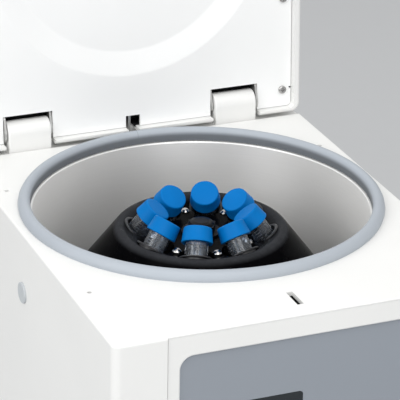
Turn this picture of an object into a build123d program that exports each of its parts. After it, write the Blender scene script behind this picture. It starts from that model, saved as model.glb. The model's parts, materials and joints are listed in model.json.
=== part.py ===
from build123d import *
from math import cos, radians, sin
import os

os.makedirs("parts", exist_ok=True)

# Bench clinical centrifuge for eight 15 ml tubes, lid open. Millimetres, +Z up, front towards -Y.
# The origin lies on the bench under the middle of the casing. The tubes set the rotor's size, the
# rotor sets the chamber's, and the chamber with its seal sets the casing's.

# Sheets, seams and clearances
WALL = 3.0
PLAY = 0.3
SEAM = 0.6
SLIP = 0.05

# Heights
DECK_Z = 232.0
FOOT_HEIGHT = 14.0
FLOOR_SHEET = 2.0
FLOOR_LOW = FOOT_HEIGHT + 0.5
FLOOR_TOP = FLOOR_LOW + FLOOR_SHEET
SHELF_DROP = 2.5
SHELF_Z = DECK_Z - SHELF_DROP
DECK_LIP = 1.2

# Tubes and caps, lengths along the tube from the top of the cap
TUBE_R = 8.3
TUBE_WALL = 0.9
TUBE_STRAIGHT = 97.0
TUBE_CONE = 23.0
TUBE_TIP = TUBE_STRAIGHT + TUBE_CONE
TUBE_MOUTH = 2.2
TIP_R = 1.6
CAP_HEIGHT = 11.0
CAP_ROOF = 2.0
CAP_EDGE = 0.9
CAP_TOP_EDGE_R = TUBE_R + 1.5
CAP_BOTTOM_R = TUBE_R + 2.7

# Sleeves and bores
SLEEVE_BORE_R = TUBE_R + PLAY
SLEEVE_R = SLEEVE_BORE_R + 1.3
SLEEVE_MOUTH_R = SLEEVE_R + 0.3
SLEEVE_END = TUBE_TIP - 8.0
BORE_R = SLEEVE_R + 0.1
FLANGE_R = SLEEVE_R + 2.3
FLANGE_LEVEL = CAP_HEIGHT + 10.7
FLANGE_SHEET = 1.2
BORE_STRAIGHT = TUBE_STRAIGHT + 3.0
BORE_END = TUBE_TIP + 2.5
BORE_TIP_R = TIP_R + 1.0

# Rotor
TUBE_COUNT = 8
FIRST_TUBE_DEG = -116.5
TUBE_TILT = 38.0
CAP_TOP_R = 30.5
CAP_TOP_Z = DECK_Z - 5.5
RIM_R = CAP_TOP_R + 27.0
RIM_Z = CAP_TOP_Z - 11.7
DISH_R = CAP_TOP_R + 12.5
DISH_Z = CAP_TOP_Z - 16.8
ROTOR_SKIN = 5.08
ROTOR_R = CAP_TOP_R + BORE_END * sin(radians(TUBE_TILT)) + ROTOR_SKIN
ROTOR_BOTTOM_Z = CAP_TOP_Z - BORE_END * cos(radians(TUBE_TILT)) - 8.0
FLANK_FOOT_Z = ROTOR_BOTTOM_Z + 27.0
ROTOR_ROOF_Z = DISH_Z - 25.7
RING_WIDTH = 18.0
HUB_R = 24.0
HUB_FOOT_Z = ROTOR_BOTTOM_Z + 12.0
SHAFT_R = 6.0
SCREW_CIRCLE_R = CAP_TOP_R + 6.5
SCREW_HEAD_R = 3.4
SCREW_HEAD_HEIGHT = 2.4
NUT_WASHER_R = 14.0
NUT_HEX_R = 11.0
NUT_HEIGHT = 6.5
NUT_CROWN = 2.5

# Chamber bowl and gasket
ROTOR_PLAY = 8.0
BOWL_R = ROTOR_R + ROTOR_PLAY
BOWL_SHEET = 1.2
BOWL_FLANGE_R = BOWL_R + 9.0
BOWL_FLOOR_Z = ROTOR_BOTTOM_Z - 6.0
BOWL_CORNER_R = 14.0
COLLAR_R = 22.0
COLLAR_HEIGHT = 8.0
DECK_HOLE_R = BOWL_R + 3.5
SKIRT_R = DECK_HOLE_R - PLAY
SKIRT_DROP = 2.3
GASKET_INNER_R = BOWL_R + 1.1
GASKET_R = BOWL_R + 10.0
GASKET_TOP_R = GASKET_R - 2.6
GASKET_HEIGHT = 7.07

# Casing round the chamber
DECK_MARGIN = 5.5
FRONT_ROOM = 56.5
REAR_ROOM = 41.5
CASE_WIDTH = 2 * (GASKET_R + DECK_MARGIN)
CASE_DEPTH = 2 * GASKET_R + FRONT_ROOM + REAR_ROOM
SIDE_X = CASE_WIDTH / 2
FRONT_Y = -CASE_DEPTH / 2
REAR_Y = CASE_DEPTH / 2
ROTOR_Y = FRONT_Y + FRONT_ROOM + GASKET_R
SHELF_Y = REAR_Y - 39.0
CORNER_R = 6.0
TOP_EDGE_R = 1.8
DECK_PIN_X = SIDE_X - 12.5
DECK_PIN_Y = (ROTOR_Y - 107.0, ROTOR_Y + 66.6)
DECK_PIN_R = 1.6
PLUG_Y = ROTOR_Y - 6.0
PLUG_Z = DECK_Z - 44.6
PLUG_R = 7.5
PLUG_STEM_R = 5.4
PLUG_HOLE_R = PLUG_STEM_R + 0.4
PLUG_FACE = 1.6
PLUG_STEM = 12.0

# Base, feet and case screws
CASE_SCREW_Y = (FRONT_Y + 38.0, 0.0, REAR_Y - 38.0)
CASE_SCREW_Z = FOOT_HEIGHT + 10.0
CASE_SCREW_R = 2.0
CASE_SCREW_HEAD = 1.8
TRAY_TOP = CASE_SCREW_Z + 6.0
FOOT_X = SIDE_X - 30.5
FOOT_Y = CASE_DEPTH / 2 - 32.0
FOOT_R = 16.0
FOOT_STUD_R = 5.0
VENT_COUNT = 9
VENT_PITCH = 14.0
VENT_LENGTH = 50.0

# Front fascia and panel
FASCIA_HALF = SIDE_X - 37.2
FASCIA_SETBACK = 0.8
FASCIA_BOTTOM = 34.0
FASCIA_FACE = FRONT_Y + FASCIA_SETBACK
FASCIA_BACK = FRONT_Y + WALL + 1.0
PANEL_HALF = FASCIA_HALF - 8.5
PANEL_TOP = DECK_Z - 16.1
PANEL_BOTTOM = DECK_Z - 128.0
PANEL_R = 9.5
PANEL_SETBACK = 1.5
PANEL_SHEET = 2.0
PANEL_FACE = FASCIA_FACE + PANEL_SETBACK
PANEL_BACK = PANEL_FACE + PANEL_SHEET
REBATE = 3.0
BEVEL = 1.0

# Keys, display and control board
KEY_Z = DECK_Z - 82.0
KEYS = {"start_key": 26.0, "stop_key": 52.0, "lid_key": 76.0}
KEY_WIDTH = 18.0
KEY_HEIGHT = 11.0
KEY_R = 3.0
KEY_PLAY = 0.35
KEY_TRAVEL = 1.5
KEY_PROUD = 1.0
KEY_LIP = 1.5
ROCKER_X = 39.0
ROCKER_Z = DECK_Z - 108.0
ROCKER_HALF = 15.0
ROCKER_HALF_HEIGHT = 6.0
ROCKER_PROUD = 1.2
ROCKER_BOW_R = 45.0
ROCKER_BOW = 1.4
ROCKER_PIN_Y = PANEL_BACK + 2.6
ROCKER_PIN_R = 1.0
ROCKER_PIN_HALF = 9.0
ROCKER_SWITCH_OUT = 11.0
DISPLAY_X0 = -74.0
DISPLAY_X1 = -2.0
DISPLAY_Z0 = DECK_Z - 92.0
DISPLAY_Z1 = DECK_Z - 56.0
DISPLAY_R = 3.0
BOARD_SHEET = 1.6
BOARD_Y = PANEL_BACK + 7.0
BOARD_Z0 = PANEL_BOTTOM + 4.0
BOARD_Z1 = DECK_Z - 42.0

# Motor and its mounts
MOTOR_R = 45.0
MOTOR_WALL = 3.0
MOTOR_TAIL_R = 30.0
MOTOR_TAIL_Z = 30.0
MOTOR_Z0 = 48.5
MOTOR_Z1 = BOWL_FLOOR_Z - 9.5
BEARING_R = 16.0
BEARING_WIDTH = 9.0
BEARING_Z = (MOTOR_TAIL_Z + 4.0, MOTOR_Z1 - 12.5)
STATOR_Z0 = MOTOR_Z0 + 5.5
STATOR_Z1 = MOTOR_Z1 - 16.5
STATOR_RING = 15.5
STATOR_BORE_R = MOTOR_R - MOTOR_WALL - STATOR_RING
STATOR_SLOTS = 12
STATOR_TOOTH = 3.0
STATOR_SLOT_DEPTH = 9.0
STATOR_SLOT_WIDTH = 6.0
AIR_GAP = 0.5
MOTOR_PLATE_R = 78.0
MOTOR_PLATE_SHEET = 4.0
DAMPER_TOP = MOTOR_Z0 - MOTOR_PLATE_SHEET
DAMPER_CIRCLE = 62.0
DAMPER_COUNT = 3
DAMPER_R = 13.0
DAMPER_WAIST_R = 10.0
DAMPER_STUD_R = 4.0

# Hinge
HINGE_Y = REAR_Y - 28.85
HINGE_Z = DECK_Z + 11.83
OPEN_DEG = 92.74
HINGE_X = SIDE_X - 52.4
COVER_HALF = 16.5
COVER_R = 9.1
COVER_EDGE_R = 1.2
COVER_SHEET = 2.0
CUTOUT_HALF = 19.2
PIN_R = 3.0
EAR_SHEET = 1.6
OUTER_EAR_R = 7.4
INNER_EAR_R = 5.0
ARM_SHEET = 2.0
ARM_Y0 = HINGE_Y - 41.15
ARM_Y1 = HINGE_Y - 17.15
ARM_Z = HINGE_Z + 0.37
ARM_SCREW_Y = ARM_Y0 + 8.0
ARM_SCREW_X = (HINGE_X - 11.1, HINGE_X + 10.9)
BRACKET_HALF = 12.0
BRACKET_SHEET = 2.5
BRACKET_EAR_R = 6.5

# Lid, drawn closed and then turned open about the hinge axis
LID_HALF = SIDE_X
LID_FRONT_Y = FRONT_Y + 0.5
LID_REAR_Y = REAR_Y - 18.5
LID_BOTTOM_Z = DECK_Z + 1.2
LID_HEIGHT = 28.0
LID_TOP = LID_BOTTOM_Z + LID_HEIGHT
LID_SHEET = 3.0
LID_ROOF = LID_TOP - LID_SHEET
LID_TOP_R = 5.0
LID_RIM = 4.9
LID_REAR_RIM = 3.2
LID_REAR_R = 2.6
LID_CORNER_R = 6.8
INNER_SETBACK = 6.5
INNER_SHEET = 2.0
INNER_GAP = 0.4
INNER_Z = LID_BOTTOM_Z + INNER_SETBACK
INNER_BACK = INNER_Z + INNER_SHEET
DISC_OUTER_R = BOWL_R - 11.0
DISC_INNER_R = DISC_OUTER_R - 18.0
DISC_DEPTH = 4.0
CUTOUT_REACH = 24.3
SCREW_SHANK_R = 1.25
SCREW_HOLE_R = 1.3
SCREW_PASS_R = 1.8
LID_SCREW_X = LID_HALF - 12.5
LID_SCREW_Y = (LID_REAR_Y - 16.8, ROTOR_Y + 62.5, ROTOR_Y - 60.0, LID_FRONT_Y + 17.0)
LID_SCREW_HEAD_R = 3.1
LID_SCREW_HEAD = 1.9
EDGE_NOTCH_Y = LID_REAR_Y - 17.9
NOTCH_X0 = -5.4
NOTCH_X1 = 6.0
NOTCH_REACH = 12.3
RIM_NOTCH_X1 = 3.2
LUG_X0 = -2.6
LUG_SHEET = 2.0
LUG_Y0 = HINGE_Y - 1.15
LUG_Y1 = HINGE_Y + 6.35
LUG_TOP = DECK_Z + 14.5

# Lock under the front of the deck
SLOT_X = 0.05
SLOT_WIDTH = 4.5
SLOT_FRONT = FRONT_Y + 15.3
SLOT_REAR = SLOT_FRONT + 18.7
BLADE_SHEET = 3.0
BLADE_WIDTH = 14.0
BLADE_DROP = 18.0
BLADE_Y = SLOT_FRONT + 9.2
BLADE_Z = DECK_Z - BLADE_DROP
STRIKER_HALF = 8.0
STRIKER_Y0 = BLADE_Y - 13.5
STRIKER_Y1 = BLADE_Y + 13.5
STRIKER_SCREW_Y = (BLADE_Y - 10.5, BLADE_Y + 10.5)
LOCK_X0 = -21.0
LOCK_X1 = 41.0
LOCK_Y0 = SLOT_FRONT - 8.3
LOCK_Y1 = SLOT_REAR + 7.0
LOCK_Z0 = DECK_Z - 36.0
BOLT_R = 3.0
BOLT_Z = BLADE_Z + 8.5

# Rear panel and power board
REAR_HALF = SIDE_X - 30.5
REAR_Z0 = 30.0
REAR_Z1 = 150.0
REAR_R = 4.0
REAR_SHEET = 2.0
REAR_FACE = REAR_Y - 1.5
REAR_BACK = REAR_FACE - REAR_SHEET
REAR_ITEM_Z = REAR_Z0 + 28.0
INLET_X = -72.0
INLET_HALF = 14.0
INLET_HALF_HEIGHT = 12.0
SWITCH_X = -30.0
SWITCH_HALF = 11.0
SWITCH_HALF_HEIGHT = 15.0
SWITCH_WALL = 2.5
LEVER_PIN_R = 1.5
LEVER_Y = REAR_FACE - 5.0
ITEM_LIP = 1.4
SLAT_ROWS = 6
SLAT_PITCH = 16.0
POWER_X0 = -SIDE_X + 8.5
POWER_X1 = POWER_X0 + 32.0
POWER_Y0 = FRONT_Y + 42.0
POWER_Y1 = POWER_Y0 + 116.0
POWER_Z = FLOOR_TOP + 8.0
POWER_SHEET = 1.6
SUPPLY_DEPTH = 30.0
SUPPLY_HEIGHT = 30.0
SUPPLY_BACK = 10.0
STORE_R = 11.0
STORE_HEIGHT = 35.0
STORE_Y = (31.0, 56.0)

MIN3 = (Align.CENTER, Align.CENTER, Align.MIN)
CORNER = (Align.MIN, Align.MIN, Align.MIN)


def box(x0, x1, y0, y1, z0, z1):
    return Pos(x0, y0, z0) * Box(x1 - x0, y1 - y0, z1 - z0, align=CORNER)


def rod(radius, x, y, z0, z1):
    return Pos(x, y, z0) * Cylinder(radius, z1 - z0, align=MIN3)


def rod_x(radius, x0, x1, y, z):
    return Pos(x0, y, z) * Rot(0, 90, 0) * Cylinder(radius, x1 - x0, align=MIN3)


def rod_y(radius, x, y0, y1, z):
    return Pos(x, y1, z) * Rot(90, 0, 0) * Cylinder(radius, y1 - y0, align=MIN3)


def round_box(x0, x1, y0, y1, z0, z1, radius):
    outline = RectangleRounded(x1 - x0, y1 - y0, radius)
    return Pos((x0 + x1) / 2, (y0 + y1) / 2, z0) * extrude(outline, z1 - z0)


def front_plate(x0, x1, z0, z1, y0, y1, radius):
    outline = RectangleRounded(x1 - x0, z1 - z0, radius)
    return Pos((x0 + x1) / 2, y1, (z0 + z1) / 2) * Rot(90, 0, 0) * extrude(outline, y1 - y0)


def turned(points):
    outline = make_face(Polyline(*points, close=True))
    return revolve(Plane.XZ * outline, Axis.Z)


def side_profile(points, x0, x1):
    outline = make_face(Polyline(*points, close=True))
    return Pos(x0, 0, 0) * extrude(Plane.YZ * outline, x1 - x0)


def around(y, count, first=0.0):
    return [Pos(0, y, 0) * Rot(0, 0, first + 360 * i / count) for i in range(count)]


def mirrored(shape):
    return mirror(shape, Plane.YZ)


def tube_place(index):
    turn = Pos(0, ROTOR_Y, 0) * Rot(0, 0, FIRST_TUBE_DEG + 360 * index / TUBE_COUNT)
    return turn * Pos(CAP_TOP_R, 0, CAP_TOP_Z) * Rot(0, -TUBE_TILT, 0) * Rot(180, 0, 0)


def opened(shape):
    hinge = Axis((0, HINGE_Y, HINGE_Z), (1, 0, 0))
    return shape.rotate(hinge, -OPEN_DEG)


def save(name, shape):
    solids = shape.solids()
    export_step(solids[0] if len(solids) == 1 else Compound(solids), f"parts/{name}.step")


# Casing: one cover with the deck, both sides, the back and the two front strips
def casing():
    blank = round_box(-SIDE_X, SIDE_X, FRONT_Y, REAR_Y, FOOT_HEIGHT, DECK_Z, CORNER_R)
    blank -= box(-SIDE_X, SIDE_X, SHELF_Y, REAR_Y, SHELF_Z, DECK_Z)
    rim = [e for e in blank.edges() if e.center().Z > DECK_Z - 0.01 and e.bounding_box().size.Z < 0.01]
    blank = fillet(rim, TOP_EDGE_R)
    inner = round_box(-SIDE_X + WALL, SIDE_X - WALL, FRONT_Y + WALL, REAR_Y - WALL, 0, DECK_Z - WALL,
                      CORNER_R - WALL)
    inner -= box(-SIDE_X, SIDE_X, SHELF_Y - WALL, REAR_Y, SHELF_Z - WALL, DECK_Z)
    shell = blank - inner
    through = DECK_Z - 2 * WALL
    shell -= rod(DECK_HOLE_R, 0, ROTOR_Y, through, DECK_Z + 1)
    half = FASCIA_HALF + SEAM
    shell -= box(-half, half, FRONT_Y - 1, FASCIA_BACK + PLAY, FASCIA_BOTTOM - SEAM, DECK_Z - DECK_LIP)
    shell -= box(-half, half, FRONT_Y - 1, FASCIA_FACE, DECK_Z - 2 * DECK_LIP, DECK_Z + 1)
    across = SLOT_WIDTH / 2
    shell -= box(SLOT_X - across, SLOT_X + across, SLOT_FRONT, SLOT_REAR, through, DECK_Z + 1)
    for x in (-DECK_PIN_X, DECK_PIN_X):
        for y in DECK_PIN_Y:
            shell -= rod(DECK_PIN_R, x, y, through, DECK_Z + 1)
    shell -= box(LUG_X0 - SEAM, LUG_X0 + LUG_SHEET + SEAM, LUG_Y0 - SEAM, LUG_Y1 + SEAM, through, DECK_Z + 1)
    shell -= rod_x(PLUG_HOLE_R, -SIDE_X - 1, -SIDE_X + 2 * WALL, PLUG_Y, PLUG_Z)
    shell -= front_plate(-REAR_HALF, REAR_HALF, REAR_Z0, REAR_Z1, REAR_Y - 2 * WALL, REAR_Y + 1, REAR_R)
    for y in CASE_SCREW_Y:
        shell -= rod_x(CASE_SCREW_R + 2 * SLIP, -SIDE_X - 1, SIDE_X + 1, y, CASE_SCREW_Z)
    return shell


def base_plate():
    side = SIDE_X - WALL - PLAY
    front = FRONT_Y + WALL + PLAY
    rear = REAR_Y - WALL - PLAY
    tray = round_box(-side, side, front, rear, FLOOR_LOW, TRAY_TOP, CORNER_R - WALL)
    tray -= round_box(-side + FLOOR_SHEET, side - FLOOR_SHEET, front + FLOOR_SHEET, rear - FLOOR_SHEET,
                      FLOOR_TOP, TRAY_TOP + 1, (CORNER_R - WALL) / 2)
    for y in CASE_SCREW_Y:
        tray -= rod_x(CASE_SCREW_R + SLIP, -side - 1, side + 1, y, CASE_SCREW_Z)
    for x, y in foot_places():
        tray -= rod(FOOT_STUD_R + 0.2, x, y, FLOOR_LOW - 1, FLOOR_TOP + 1)
    vent_y = ROTOR_Y - DAMPER_CIRCLE - DAMPER_R
    for i in range(VENT_COUNT):
        x = VENT_PITCH * (i - (VENT_COUNT - 1) / 2)
        tray -= round_box(x - 2, x + 2, vent_y - VENT_LENGTH, vent_y, FLOOR_LOW - 1, FLOOR_TOP + 1, 1.9)
    return tray


def foot_places():
    return [(x, y) for x in (-FOOT_X, FOOT_X) for y in (-FOOT_Y, FOOT_Y)]


def feet():
    stud_top = FLOOR_TOP + 3
    foot = turned([(0, 0), (FOOT_R - 3, 0), (FOOT_R - 1, 2), (FOOT_R, FLOOR_LOW), (FOOT_STUD_R, FLOOR_LOW),
                   (FOOT_STUD_R, stud_top), (0, stud_top)])
    return Compound([Pos(x, y, 0) * foot for x, y in foot_places()])


def case_screws():
    recess = CASE_SCREW_R - 0.1
    slot = 0.45
    screws = []
    for y in CASE_SCREW_Y:
        shank = rod_x(CASE_SCREW_R, SIDE_X - WALL - PLAY - FLOOR_SHEET - 2, SIDE_X, y, CASE_SCREW_Z)
        head = rod_x(2 * CASE_SCREW_R, SIDE_X, SIDE_X + CASE_SCREW_HEAD, y, CASE_SCREW_Z)
        head = fillet(head.edges().sort_by(Axis.X)[-1:], 0.8)
        for half_y, half_z in ((recess, slot), (slot, recess)):
            head -= box(SIDE_X + CASE_SCREW_HEAD / 2, SIDE_X + 2 * CASE_SCREW_HEAD, y - half_y, y + half_y,
                        CASE_SCREW_Z - half_z, CASE_SCREW_Z + half_z)
        screw = shank + head
        screws += [screw, mirrored(screw)]
    return Compound([s.solid() for s in screws])


# Front: fascia, panel, window and keys
def panel_plate(x0, x1, z0, z1, y0, y1, radius, grow):
    return front_plate(x0 - grow, x1 + grow, z0 - grow, z1 + grow, y0, y1, radius + grow)


def fascia():
    plate = box(-FASCIA_HALF, FASCIA_HALF, FASCIA_FACE, FASCIA_BACK, FASCIA_BOTTOM,
                DECK_Z - DECK_LIP - PLAY / 2)
    opening = (-PANEL_HALF, PANEL_HALF, PANEL_BOTTOM, PANEL_TOP)
    plate -= panel_plate(*opening, FASCIA_FACE - 1, FASCIA_BACK + 1, PANEL_R, 0)
    rim = [e for e in plate.edges() if abs(e.center().Y - FASCIA_FACE) < 0.01
           and abs(e.center().X) < PANEL_HALF + 1 and PANEL_BOTTOM - 1 < e.center().Z < PANEL_TOP + 1]
    plate = chamfer(rim, BEVEL)
    return plate - panel_plate(*opening, PANEL_FACE, FASCIA_BACK + 1, PANEL_R, REBATE)


def control_panel():
    plate = panel_plate(-PANEL_HALF, PANEL_HALF, PANEL_BOTTOM, PANEL_TOP, PANEL_FACE, PANEL_BACK, PANEL_R,
                        REBATE - PLAY)
    cuts = [(DISPLAY_X0, DISPLAY_X1, DISPLAY_Z0, DISPLAY_Z1, DISPLAY_R, 0)]
    for x in KEYS.values():
        cuts.append((x - KEY_WIDTH / 2, x + KEY_WIDTH / 2, KEY_Z - KEY_HEIGHT / 2, KEY_Z + KEY_HEIGHT / 2,
                     KEY_R, KEY_PLAY))
    cuts.append((ROCKER_X - ROCKER_HALF, ROCKER_X + ROCKER_HALF, ROCKER_Z - ROCKER_HALF_HEIGHT,
                 ROCKER_Z + ROCKER_HALF_HEIGHT, KEY_R - 0.5, 0.5))
    for x0, x1, z0, z1, radius, grow in cuts:
        plate -= panel_plate(x0, x1, z0, z1, PANEL_FACE - 1, PANEL_BACK + 1, radius, grow)
    return plate


def display_window():
    place = (DISPLAY_X0, DISPLAY_X1, DISPLAY_Z0, DISPLAY_Z1)
    lens = panel_plate(*place, PANEL_FACE + 0.2, PANEL_BACK, DISPLAY_R, -0.2)
    return lens + panel_plate(*place, PANEL_BACK, PANEL_BACK + 1, 1, KEY_R)


def key(x):
    place = (x - KEY_WIDTH / 2, x + KEY_WIDTH / 2, KEY_Z - KEY_HEIGHT / 2, KEY_Z + KEY_HEIGHT / 2)
    cap = panel_plate(*place, PANEL_FACE - KEY_PROUD, PANEL_BACK + 0.5, KEY_R, 0)
    cap = fillet(cap.faces().sort_by(Axis.Y)[0].edges(), 0.4)
    lip = panel_plate(*place, PANEL_BACK + 0.3, PANEL_BACK + 1.3, KEY_R, KEY_LIP)
    return cap + lip + rod_y(2.0, x, PANEL_BACK + 1, PANEL_BACK + 3, KEY_Z)


def set_rocker():
    face = PANEL_FACE - ROCKER_PROUD
    cap = front_plate(ROCKER_X - ROCKER_HALF, ROCKER_X + ROCKER_HALF, ROCKER_Z - ROCKER_HALF_HEIGHT,
                      ROCKER_Z + ROCKER_HALF_HEIGHT, face, PANEL_BACK + 1, KEY_R - 0.5)
    cap -= Pos(ROCKER_X, face + ROCKER_BOW - ROCKER_BOW_R, ROCKER_Z) * Cylinder(ROCKER_BOW_R, 20)
    stem = box(ROCKER_X - 1.5, ROCKER_X + 1.5, PANEL_BACK, ROCKER_PIN_Y, ROCKER_Z - 4, ROCKER_Z + 4)
    return cap + stem + rod(ROCKER_PIN_R, ROCKER_X, ROCKER_PIN_Y, ROCKER_Z - ROCKER_PIN_HALF,
                            ROCKER_Z + ROCKER_PIN_HALF)


def control_board():
    board = box(-PANEL_HALF + 7, PANEL_HALF - 1, BOARD_Y, BOARD_Y + BOARD_SHEET, BOARD_Z0, BOARD_Z1)
    board += box(DISPLAY_X0 - 1, DISPLAY_X1 + 1, PANEL_BACK + 2.5, BOARD_Y, DISPLAY_Z0 + 2, DISPLAY_Z1 - 2)
    for x in KEYS.values():
        board += box(x - 3, x + 3, PANEL_BACK + 3 + KEY_TRAVEL + 0.4, BOARD_Y, KEY_Z - 3, KEY_Z + 3)
    for side in (-1, 1):
        x = ROCKER_X + ROCKER_SWITCH_OUT * side
        board += box(x - 2, x + 2, PANEL_BACK + 5, BOARD_Y, ROCKER_Z - 2, ROCKER_Z + 2)
        z = ROCKER_Z + ROCKER_PIN_HALF * side
        yoke = box(ROCKER_X - 3, ROCKER_X + 3, PANEL_BACK + 0.8, BOARD_Y, z - 1, z + 1)
        board += yoke - rod(ROCKER_PIN_R + SLIP, ROCKER_X, ROCKER_PIN_Y, z - 2, z + 2)
    for x in (-PANEL_HALF + 11, PANEL_HALF - 5):
        for z in (BOARD_Z0 + 4, BOARD_Z1 - 4):
            board += rod_y(3, x, PANEL_BACK, BOARD_Y, z)
    return board


# Chamber
def gasket():
    z = DECK_Z
    middle = (GASKET_TOP_R + GASKET_INNER_R) / 2
    foot = (GASKET_R - 0.6, z)
    lip = (GASKET_INNER_R + 0.2, z - SKIRT_DROP)
    line = [Line(foot, (SKIRT_R, z)), Line((SKIRT_R, z), (SKIRT_R, z - SKIRT_DROP)),
            Line((SKIRT_R, z - SKIRT_DROP), lip),
            Spline(lip, (GASKET_INNER_R, z + 2.5), (GASKET_INNER_R + 0.9, z + 5.6),
                   (middle, z + GASKET_HEIGHT), (GASKET_TOP_R, z + 6.2), (GASKET_R - 0.2, z + 3.0), foot,
                   tangents=((-0.1, 1), (-0.5, -1)))]
    return Pos(0, ROTOR_Y, 0) * revolve(Plane.XZ * make_face(line), Axis.Z)


def bowl():
    top = DECK_Z - WALL
    out_r = BOWL_R + BOWL_SHEET
    low = BOWL_FLOOR_Z - BOWL_SHEET
    collar_top = BOWL_FLOOR_Z + COLLAR_HEIGHT
    points = [(BOWL_FLANGE_R, top), (BOWL_R, top), (BOWL_R, BOWL_FLOOR_Z), (COLLAR_R, BOWL_FLOOR_Z),
              (COLLAR_R, collar_top), (COLLAR_R - BOWL_SHEET, collar_top), (COLLAR_R - BOWL_SHEET, low),
              (out_r, low), (out_r, top - BOWL_SHEET), (BOWL_FLANGE_R, top - BOWL_SHEET)]
    face = make_face(Polyline(*points, close=True))
    for r, z, radius in ((BOWL_R, BOWL_FLOOR_Z, BOWL_CORNER_R), (out_r, low, BOWL_CORNER_R + BOWL_SHEET)):
        face = fillet([v for v in face.vertices() if abs(v.X - r) + abs(v.Y - z) < 0.01], radius)
    return Pos(0, ROTOR_Y, 0) * revolve(Plane.XZ * face, Axis.Z)


# Rotor: a turned body with a dished middle, a rounded rim and one slanted, stepped bore per tube
def rotor_body():
    shaft = SHAFT_R + 0.02
    rim_in = (RIM_R - 4, RIM_Z - 1.4)
    rim_out = (RIM_R + 4.2, RIM_Z - 1.9)
    ring = ROTOR_R - RING_WIDTH
    line = [Polyline((shaft, DISH_Z), (DISH_R, DISH_Z), rim_in),
            ThreePointArc(rim_in, (RIM_R, RIM_Z), rim_out),
            Polyline(rim_out, (ROTOR_R - 1, FLANK_FOOT_Z), (ROTOR_R, FLANK_FOOT_Z - 3),
                     (ROTOR_R, ROTOR_BOTTOM_Z + 5), (ROTOR_R - 5, ROTOR_BOTTOM_Z), (ring, ROTOR_BOTTOM_Z),
                     (HUB_R + 21, ROTOR_ROOF_Z), (HUB_R, ROTOR_ROOF_Z), (HUB_R - 4, HUB_FOOT_Z),
                     (shaft, HUB_FOOT_Z), (shaft, DISH_Z))]
    body = Pos(0, ROTOR_Y, 0) * revolve(Plane.XZ * make_face(line), Axis.Z)
    step = FLANGE_LEVEL + FLANGE_SHEET
    bore = turned([(0, 0), (FLANGE_R + PLAY, 0), (FLANGE_R + PLAY, step), (BORE_R, step),
                   (BORE_R, BORE_STRAIGHT), (BORE_TIP_R, BORE_END), (0, BORE_END)])
    for i in range(TUBE_COUNT):
        body -= tube_place(i) * bore
    for place in screw_places():
        body -= place * Pos(0, 0, DISH_Z - 9) * Cylinder(1.6, 20, align=MIN3)
    return body


def screw_places():
    turns = around(ROTOR_Y, TUBE_COUNT, FIRST_TUBE_DEG + 180 / TUBE_COUNT)
    return [turn * Pos(SCREW_CIRCLE_R, 0, 0) for turn in turns]


def rotor_screws():
    top = DISH_Z + SCREW_HEAD_HEIGHT
    rise = SCREW_HEAD_HEIGHT - 0.5
    ball = (SCREW_HEAD_R ** 2 + rise ** 2) / (2 * rise)
    dome = rod(SCREW_HEAD_R, 0, 0, DISH_Z, top + 1) & Pos(0, 0, top - ball) * Sphere(ball)
    dome += rod(1.5, 0, 0, DISH_Z - 7, DISH_Z + 0.5)
    return Compound([place * dome for place in screw_places()])


def rotor_nut():
    washer = 1.5
    hex_top = DISH_Z + NUT_HEIGHT
    nut = Pos(0, ROTOR_Y, DISH_Z + washer) * extrude(RegularPolygon(NUT_HEX_R, 6), NUT_HEIGHT - washer)
    nut += rod(NUT_WASHER_R, 0, ROTOR_Y, DISH_Z, DISH_Z + washer)
    crown = turned([(0, 0), (NUT_HEX_R - 1.6, 0), (NUT_HEX_R - 3, 0.7 * NUT_CROWN), (5, NUT_CROWN),
                    (0, NUT_CROWN)])
    nut += Pos(0, ROTOR_Y, hex_top) * crown
    return nut - rod(SHAFT_R + 0.02, 0, ROTOR_Y, DISH_Z - 1, hex_top)


# Tubes, caps and the sleeves that hold them
def sleeves():
    top = FLANGE_LEVEL
    shape = turned([(SLEEVE_MOUTH_R, top), (FLANGE_R, top), (FLANGE_R, top + FLANGE_SHEET),
                    (SLEEVE_R, top + FLANGE_SHEET), (SLEEVE_R, BORE_STRAIGHT - 1), (TIP_R + 4, SLEEVE_END),
                    (TIP_R + 3, SLEEVE_END), (SLEEVE_BORE_R, BORE_STRAIGHT - 2.5), (SLEEVE_BORE_R, top + 4)])
    return Compound([tube_place(i) * shape for i in range(TUBE_COUNT)])


def tube(index):
    inner = TUBE_R - TUBE_WALL
    shape = turned([(0, TUBE_TIP), (TIP_R, TUBE_TIP), (TIP_R + 0.8, TUBE_TIP - 1.2),
                    (TUBE_R, TUBE_STRAIGHT), (TUBE_R, TUBE_MOUTH), (inner, TUBE_MOUTH),
                    (inner, TUBE_STRAIGHT - 0.4), (TIP_R, TUBE_TIP - 2.0), (0, TUBE_TIP - 2.0)])
    return tube_place(index) * shape


def tube_cap(index):
    bore = TUBE_R + SLIP
    shape = turned([(0, 0), (CAP_TOP_EDGE_R - CAP_EDGE, 0), (CAP_TOP_EDGE_R, CAP_EDGE),
                    (CAP_BOTTOM_R, CAP_HEIGHT), (bore, CAP_HEIGHT), (bore, CAP_ROOF), (0, CAP_ROOF)])
    return tube_place(index) * shape


# Drive under the bowl
def motor_shaft():
    top = DISH_Z + NUT_HEIGHT - 0.5
    return rod(SHAFT_R, 0, ROTOR_Y, MOTOR_TAIL_Z + 2, top)


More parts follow.
